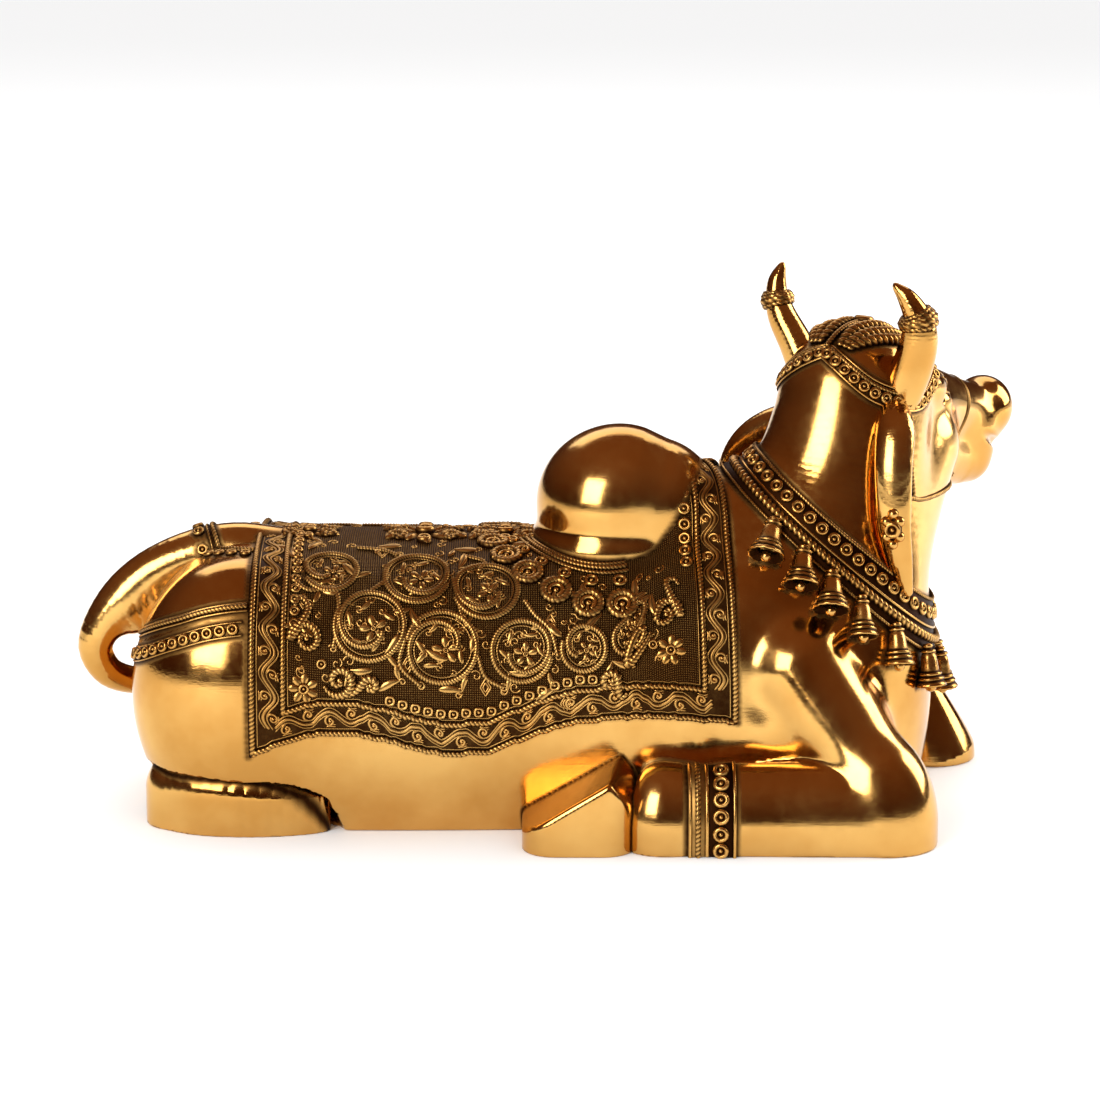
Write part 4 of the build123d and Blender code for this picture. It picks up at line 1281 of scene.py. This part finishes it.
def build_collar():
    band, rope, bosses, bells, clappers = (Casting() for _ in range(5))
    angles = np.linspace(0, 360, 361)
    rows = []
    for up, raise_by in COLLAR_EDGES:
        p, n = collar_ring(up, angles[:-1])
        rows.append(p + n * raise_by)
    faces = lattice(len(rows), 360, True)[:, ::-1]
    crest = np.repeat([0.0, 0.1, 0.15, 0.05, 0.1, 0.1, 0.2, 0.0], 360)
    band.add(np.array(rows), [faces], crest)
    for up, r, pitch in ((14.3, 0.75, 1.3), (6.4, 0.6, 0.0), (-0.7, 0.6, 1.2)):
        p, n = collar_ring(up, angles)
        wire(band, even(p, 0.45), unit(even(p, 0.45, n)), r, sides=7, pitch=pitch, lift=1.5)
    band.build("collar_band_edges", "collar_band")
    p, n = collar_ring(3.3, angles)
    wire(rope, even(p, 0.4), unit(even(p, 0.4, n)), 1.75, sides=9, pitch=2.4, depth=0.15, lift=1.7)
    rope.build("collar_twisted_rope", "collar_rope")
    p, n = collar_ring(10.4, angles)
    length = distance_along(p)[-1]
    count = int(round(length / 6.2))
    path = even(p, length / count)[:-1]
    stamp(bosses, BOSS, *settle_on(path, 1.4), COLLAR_UP, 2.85)
    bosses.build("collar_ringed_bosses", "collar_bosses")
    for angle in BELL_ANGLES:
        radius = 7.2 if abs(angle) > 85 else 5.9
        (top,), (n,) = collar_ring(0.5, [angle])
        foot, m = settle(whole_field, [top + np.array([-2.8, 0, -BELL_TALL]) + n * 2])
        top = top + n * 3.4
        axis = unit(top - (foot[0] + m[0] * (radius * 0.8)))
        stamp(bells, bell_template(radius), top + axis * 0.5, axis, n)
        mouth = top - axis * (BELL_TALL * 0.98)
        stamp(clappers, turned(BALL_ROWS, 12), mouth, -axis, n, 2.2)
    bells.build("collar_cast_bells", "collar_bells")
    clappers.build("collar_bell_tongues", "collar_bell_clappers")


def settle_on(path, lift, field=None):
    """Places on the skin near a path, lifted off it, with their normals."""
    p, n = settle(field or whole_field, path, 3)
    return p + n * lift, n


# Head dress, anklets and ears ------------------------------------------


def head_path(points, step=0.5):
    """A path laid on the head through points given along the head's own directions."""
    return lay(whole_field, [on_head(*q) for q in points], step)


# The head band on one side, along the head's own directions, from the nape round to the brow
HALF_BAND = [
    (-24, 0, -6), (-22, 6, -10), (-19, 14, -15), (-13, 21, -19), (-4, 26, -20), (6, 28, -18), (15, 26, -13),
    (22, 22, -6), (27, 13, 1), (30, 5, 2.5), (31, 0, 2.5),
]


def build_head_dress():
    band, bosses, nose, cheeks, poll = (Casting() for _ in range(5))
    for side in (-1, 1):
        outline_points = [(f, side * l, u) for f, l, u in HALF_BAND]
        p, n = head_path(outline_points)
        at = np.arange(4, len(p) - 3, 10)
        stamp(bosses, BOSS, p[at] + n[at] * 0.5, n[at], (0, 0, 1), 2.5)
        for shift, r, pitch in ((3.3, 0.9, 1.4), (5.2, 0.5, 0.0), (-3.1, 0.5, 0.0)):
            q, m = head_path([(f, l, u + shift) for f, l, u in outline_points])
            wire(band, q, m, r, sides=7, pitch=pitch, lift=0.4)
        for points in (
            [(137.8, -9.4, 159), (139.5, -10.8, 149), (140.4, -12, 137), (141.4, -12.3, 126)],
            [(139, -15, 126.6), (145, -7.3, 124), (152.4, 6, 123), (160, 26, 123), (165, 50, 121)],
        ):
            if side < 0:
                p, n = lay(whole_field, points, 0.5)
                wire(cheeks, p, n, 0.8, sides=7, pitch=1.6, depth=0.3, lift=0.4)
        for lift_by, bulge in ((0.0, 0.0), (2.3, 1.6), (-2.3, -1.6)):
            top = (38, side * 19.5, -3 + lift_by + bulge)
            brow, brow_n = head_path([(30, side * 19, -4 + lift_by), top, (48, side * 16.5, -5)])
            wire(cheeks, brow, brow_n, taper(len(brow), 0.3, 0.55), sides=6, lift=0.2)
    t = np.radians(np.arange(0, 360, 3.0))
    out = np.cos(t)[:, None] * LEFT + np.sin(t)[:, None] * UP
    for forward, r, pitch in ((68, 0.45, 1.0), (69.5, 0.3, 0.0)):
        p = reach(head_field, on_head(forward, 0, -14), out, 2, 40)
        p = np.vstack([p, p[:1]])
        n = unit(gradient(head_field, p))
        wire(nose, even(p, 0.5), unit(even(p, 0.5, n)), r, sides=6, pitch=pitch)
    stamp(bosses, BOSS, *settle_on([on_head(36, 0, 4)], 0.6), FORWARD, 5.0)
    stamp(bosses, BOSS, *settle_on([on_head(46, 0, 3)], 0.5), FORWARD, 2.6)
    for out_by in (-13, -8.5, -4, 4, 8.5, 13):
        lean = 3.0 * math.copysign(1, out_by)
        front = [(0, out_by * 1.25, 6), (12, out_by, 5), (22, out_by * 0.4, 3)]
        p, n = head_path([(-22, out_by * 0.5 + lean, -2), (-12, out_by * 1.1, 4), *front])
        wire(poll, p, n, taper(len(p), 0.45, 2.3), sides=9, pitch=2.6, depth=0.22, flat=0.9, lift=0.9)
    p, n = head_path([(-24, 0, -3), (-12, 0, 4), (0, 0, 7), (14, 0, 6), (26, 0, 3)])
    wire(poll, p, n, 1.1, sides=8, pitch=1.5, lift=1.0)
    stamp(poll, BOSS, *settle_on([on_head(0, 0, 7)], 1.2), FORWARD, 4.2)
    band.build("head_band_ropes", "head_band")
    bosses.build("head_band_ringed_bosses", "head_band_bosses")
    nose.build("nose_band_rope", "nose_band")
    cheeks.build("bridle_cords", "cheek_straps")
    poll.build("poll_braids", "poll_ornament")


def ring_on(casting, field, line, share, radius, pitch, lift):
    """A ring round a limb at a share of the way along its line of stations."""
    s = spline(line, 101)
    i = int(share * 98) + 1
    axis = unit(s[i + 1, :3] - s[i - 1, :3])
    u = unit(np.cross(axis, (0.3, 0.5, 0.8)))
    w = np.cross(axis, u)
    t = np.radians(np.arange(0, 361, 4.0))
    p = reach(field, s[i, :3], np.cos(t)[:, None] * u + np.sin(t)[:, None] * w, 0.5, 25)
    n = unit(gradient(field, p))
    wire(casting, even(p, 0.4), unit(even(p, 0.4, n)), radius, sides=7, pitch=pitch, lift=lift)


def build_horns_and_ears():
    for name in ("right", "left"):
        horn = np.array(HORN_LINES[name])
        low, high = horn[:, :3].min(0) - 11, horn[:, :3].max(0) + 11
        smooth_piece(lambda q: tube_field(q, horn), low, high, 0.8, f"{name}_horn_surface", f"{name}_horn")
        rings = Casting()
        for share, r, pitch in ((0.44, 1.2, 1.9), (0.48, 1.9, 3.0), (0.52, 1.6, 2.4), (0.55, 1.0, 1.5)):
            ring_on(rings, lambda q: tube_field(q, horn), horn, share, r, pitch, 0.3)
        rings.build(f"{name}_horn_ring_ropes", f"{name}_horn_rings")
        ear = np.array(EAR_LINES[name])
        low, high = ear[:, :3].min(0) - 12, ear[:, :3].max(0) + 12
        smooth_piece(lambda q: ear_field(q, name), low, high, 0.8, f"{name}_ear_surface", f"{name}_ear")
        pendant = Casting()
        out = np.array(EAR_FACES[name])
        hang = ear[4, :3] + out * (ear[4, 3] * 0.55)
        balls = ((-2.5, 3), (2.5, 3), (-2.5, -3), (2.5, -3), (0, -6), (0, 6))
        spots = [hang + np.array([x, 0, z]) for x, z in balls]
        stamp(pendant, turned(BALL_ROWS, 10), np.array(spots), out, (0, 0, 1), 2.3)
        stamp(pendant, BOSS, hang + out * 0.8, out, (0, 0, 1), 3.6)
        pendant.build(f"{name}_ear_cluster", f"{name}_ear_pendant")


def shank_ring(x, start=-24.0, end=88.0):
    """Places round the near shank at one x, from the ground outside up over its top."""
    t = np.radians(np.arange(start, end, 1.5))
    out = np.column_stack([np.zeros_like(t), -np.cos(t), np.sin(t)])
    p = reach(whole_field, (x, -SHANK_Y, LOAF_Z), out, 5, 40)
    return p, unit(gradient(whole_field, p, 0.3))


# Where the near anklet's surface is: x, out from the leg, and its crest value
ANKLET_EDGES = [
    (50.6, -0.3, 0.0), (51.0, 0.9, 0.55), (57.4, 0.9, 0.55), (58.0, 0.5, 0.0), (59.2, 0.9, 0.15),
    (68.6, 0.9, 0.15), (69.2, -0.3, 0.0),
]


def build_anklets():
    anklet, bosses, far = Casting(), Casting(), Casting()
    rows = []
    for x, raise_by, _ in ANKLET_EDGES:
        p, n = shank_ring(x)
        rows.append(p + n * raise_by)
    crest = np.repeat([crest for _, _, crest in ANKLET_EDGES], len(rows[0]))
    anklet.add(np.array(rows), [lattice(len(rows), len(rows[0]))], crest)
    for x, r, pitch in ((51.6, 0.6, 0.0), (54.6, 1.15, 1.7), (58.2, 0.85, 0.0), (68.8, 0.7, 0.0)):
        p, n = shank_ring(x)
        wire(anklet, even(p, 0.45), unit(even(p, 0.45, n)), r, sides=7, pitch=pitch, lift=0.9)
    anklet.build("right_anklet_straps", "right_anklet")
    p, n = shank_ring(63.6)
    path = even(p, 6.1)[:-1] + np.array([0, 0, 2.6])
    stamp(bosses, BOSS, *settle_on(path, 0.9), (1, 0, 0), 3.3)
    bosses.build("right_anklet_ringed_bosses", "right_anklet_bosses")
    leg = [(134, 51, 42, 1), (140, 53, 38, 1), (146, 54, 32, 1), (150, 55, 24, 1)]
    for share, r, pitch in ((0.3, 0.9, 1.5), (0.42, 1.3, 2.0), (0.54, 0.9, 1.5)):
        ring_on(far, lambda q: np.minimum(whole_field(q), far_hoof(q)), leg, share, r, pitch, 0.3)
    far.build("left_anklet_ropes", "left_anklet")


# Smooth skin -----------------------------------------------------------


def smooth_piece(field, low, high, voxel, name, cad_node, shade=None):
    """A polished piece straight from its field."""
    points, quads, normals = polygonise(field, low, high, voxel)
    casting = Casting()
    casting.add(points, [quads], shade(points) if shade else 1.0)
    casting.build(name, cad_node, SKIN_SLOT, POLISHED, normals)


def barrel_field(p):
    """The torso and the thighs, not blended."""
    return np.minimum(torso_field(p), np.minimum(haunch(p, -1), haunch(p, 1)))


SKIN_PARTS = [
    ("body_skin", "body_casting", barrel_field),
    ("neck_skin", "neck_casting", lambda p: np.minimum(neck_field(p), throat_field(p))),
    ("head_skin", "head_casting", head_field),
    ("right_foreleg_skin", "right_foreleg", lambda p: np.minimum(near_arm(p), near_shank(p))),
    ("left_foreleg_skin", "left_foreleg", far_foreleg),
    ("right_hind_foot_skin", "right_hind_foot", lambda p: hind_foot(p, -1)),
    ("left_hind_foot_skin", "left_hind_foot", lambda p: hind_foot(p, 1)),
]


SKIN_VOXEL = 1.2


def build_skin(shade):
    """The whole skin in one smooth surface, then shared out between the castings that it stands for."""
    points, quads, normals = polygonise(whole_field, (-172, -90, -4), (196, 102, 194), SKIN_VOXEL)
    crest = shade(points)
    owner = np.argmin([field(points) for _, _, field in SKIN_PARTS], axis=0)
    face_owner = owner[quads[:, 0]]
    for k, (name, cad_node, _) in enumerate(SKIN_PARTS):
        mine = quads[face_owner == k]
        used, local = np.unique(mine, return_inverse=True)
        casting = Casting()
        casting.add(points[used], [local.reshape(mine.shape)], crest[used])
        casting.build(name, cad_node, SKIN_SLOT, POLISHED, normals[used])


# The pieces beside which the skin is darkened with patina and painted shade
SHADE_AND_PATINA_PIECES = (
    "saddle_cloth_sheet",
    "hump_rope_rings",
    "breeching_strap_wires",
    "breeching_ringed_bosses",
    "croup_crescent_ropes",
    "croup_ringed_bosses",
    "collar_band_edges",
    "collar_twisted_rope",
    "collar_ringed_bosses",
    "collar_cast_bells",
    "head_band_ropes",
    "head_band_ringed_bosses",
    "poll_braids",
    "right_anklet_straps",
    "right_anklet_ringed_bosses",
)


def ornament_shade():
    """A function that is low close to the ornament, where polish never reaches and painted shade darkens the
    skin, and 1 on open skin.
    """
    shade_and_patina_pieces = [piece for piece in bpy.data.objects if piece.name.startswith(SHADE_AND_PATINA_PIECES)]
    near = [np.array([v.co for v in piece.data.vertices])[::2] for piece in shade_and_patina_pieces]
    near = np.concatenate(near) / MM - ORIGIN
    tree = KDTree(len(near))
    for i, v in enumerate(near):
        tree.insert(v, i)
    tree.balance()
    return lambda points: np.clip(0.15 + np.array([tree.find(v)[2] for v in points]) / 3.4, 0, 1)


def skin_shade(points):
    """The shade of the body's skin: patina and painted shade beside the ornament, painted shade beside the
    tail and hoof and in the folds.
    """
    crease = np.minimum(np.abs(tail_field(points)), np.abs(near_hoof(points)))
    return near_ornament(points) * np.clip(0.2 + crease / 2.0, 0, 1) * (1 - 0.85 * crease_depth(points))


def crease_depth(p):
    """1 in the sharp folds between body and limbs, 0 on open skin: where painted shade darkens the skin."""
    body = barrel_field(p)
    worst = np.zeros(len(p))
    for d, width in ((near_shank(p), 3.0), (hind_foot(p, -1), 2.4), (hind_foot(p, 1), 2.4)):
        worst = np.maximum(worst, np.clip(1 - (np.abs(d) + np.abs(body)) / width, 0, 1))
    return worst


# Room ------------------------------------------------------------------


def softbox(name, azimuth, elevation, distance, width, height, power):
    """A rectangular light that faces the bull; azimuth 0 is the camera's side and 90 is past its nose."""
    a, e = math.radians(azimuth), math.radians(elevation)
    target = ORIGIN + np.array([0.0, 0.0, 100.0])
    place = target + distance * np.array([math.sin(a) * math.cos(e), -math.cos(a) * math.cos(e), math.sin(e)])
    data = bpy.data.lights.new(name, "AREA")
    data.shape = "RECTANGLE"
    data.size, data.size_y, data.energy = width * MM, height * MM, power
    light = bpy.data.objects.new(name, data)
    light.location = Vector(place * MM)
    light.rotation_euler = Vector((target - place) * MM).to_track_quat("-Z", "Y").to_euler()
    bpy.context.scene.collection.objects.link(light)


ROOM_LOW = (0.034, 0.009, 0.004, 1)
ROOM_HIGH = (0.21, 0.082, 0.034, 1)


def add_room():
    """A pale floor, two softboxes, and a dim studio for the brass to mirror."""
    mesh = bpy.data.meshes.new("floor")
    half = 12.0
    corners = [(-half, -half, 0), (half, -half, 0), (half, half, 0), (-half, half, 0)]
    mesh.from_pydata(corners, [], [(0, 1, 2, 3)])
    floor = bpy.data.objects.new("floor", mesh)
    bpy.context.scene.collection.objects.link(floor)
    pale = bpy.data.materials.new("pale floor")
    pale.use_nodes = True
    pale.node_tree.nodes["Principled BSDF"].inputs["Base Color"].default_value = (0.92, 0.92, 0.92, 1)
    pale.node_tree.nodes["Principled BSDF"].inputs["Roughness"].default_value = 0.9
    mesh.materials.append(pale)
    softbox("key softbox", -33, 25, 1500, 720, 900, 15)
    softbox("side softbox", 108, 22, 1500, 800, 900, 15)
    softbox("back softbox", 180, 42, 2400, 2600, 1100, 16)
    bpy.context.scene.view_settings.view_transform = "Standard"
    world = bpy.data.worlds.new("studio")
    bpy.context.scene.world = world
    world.use_nodes = True
    tree = world.node_tree
    tree.nodes.clear()
    ray = tree.nodes.new("ShaderNodeLightPath")
    toward = tree.nodes.new("ShaderNodeTexCoord").outputs["Generated"]
    split = tree.nodes.new("ShaderNodeSeparateXYZ")
    tree.links.new(toward, split.inputs[0])
    height = to_range(tree, split.outputs[2], 0.0, 1.0, 0.0, 0.9)
    seen = mix_colour(tree, height, ROOM_LOW, ROOM_HIGH)
    colour = mix_colour(tree, ray.outputs["Is Glossy Ray"], (1.04, 1.04, 1.04, 1), seen)
    background = tree.nodes.new("ShaderNodeBackground")
    tree.links.new(colour, background.inputs["Color"])
    background.inputs["Strength"].default_value = 1.0
    output = tree.nodes.new("ShaderNodeOutputWorld")
    tree.links.new(background.outputs[0], output.inputs[0])


build_cloth()
build_ropes()
build_vine()
build_bosses()
build_field()
build_corners()
build_spine()
build_hump_rings()
build_rump()
build_collar()
build_head_dress()
build_anklets()
near_ornament = ornament_shade()
build_skin(skin_shade)
smooth_piece(near_hoof, (-20, -94, -4), (38, -36, 36), 0.9, "right_fore_hoof_surface", "right_fore_hoof")
smooth_piece(far_hoof, (125, 30, -4), (186, 84, 50), 1.0, "left_fore_hoof_surface", "left_fore_hoof")
# The hump and tail take the same patina and painted shade beside the ornament as the skin
smooth_piece(hump_field, HUMP_C - 34, HUMP_C + (50, 34, 36), 1.0, "hump_surface", "hump_dome", near_ornament)
smooth_piece(tail_field, (-197, -24, 30), (-95, 76, 118), 1.0, "tail_surface", "tail", near_ornament)
build_horns_and_ears()
add_room()
add_camera()
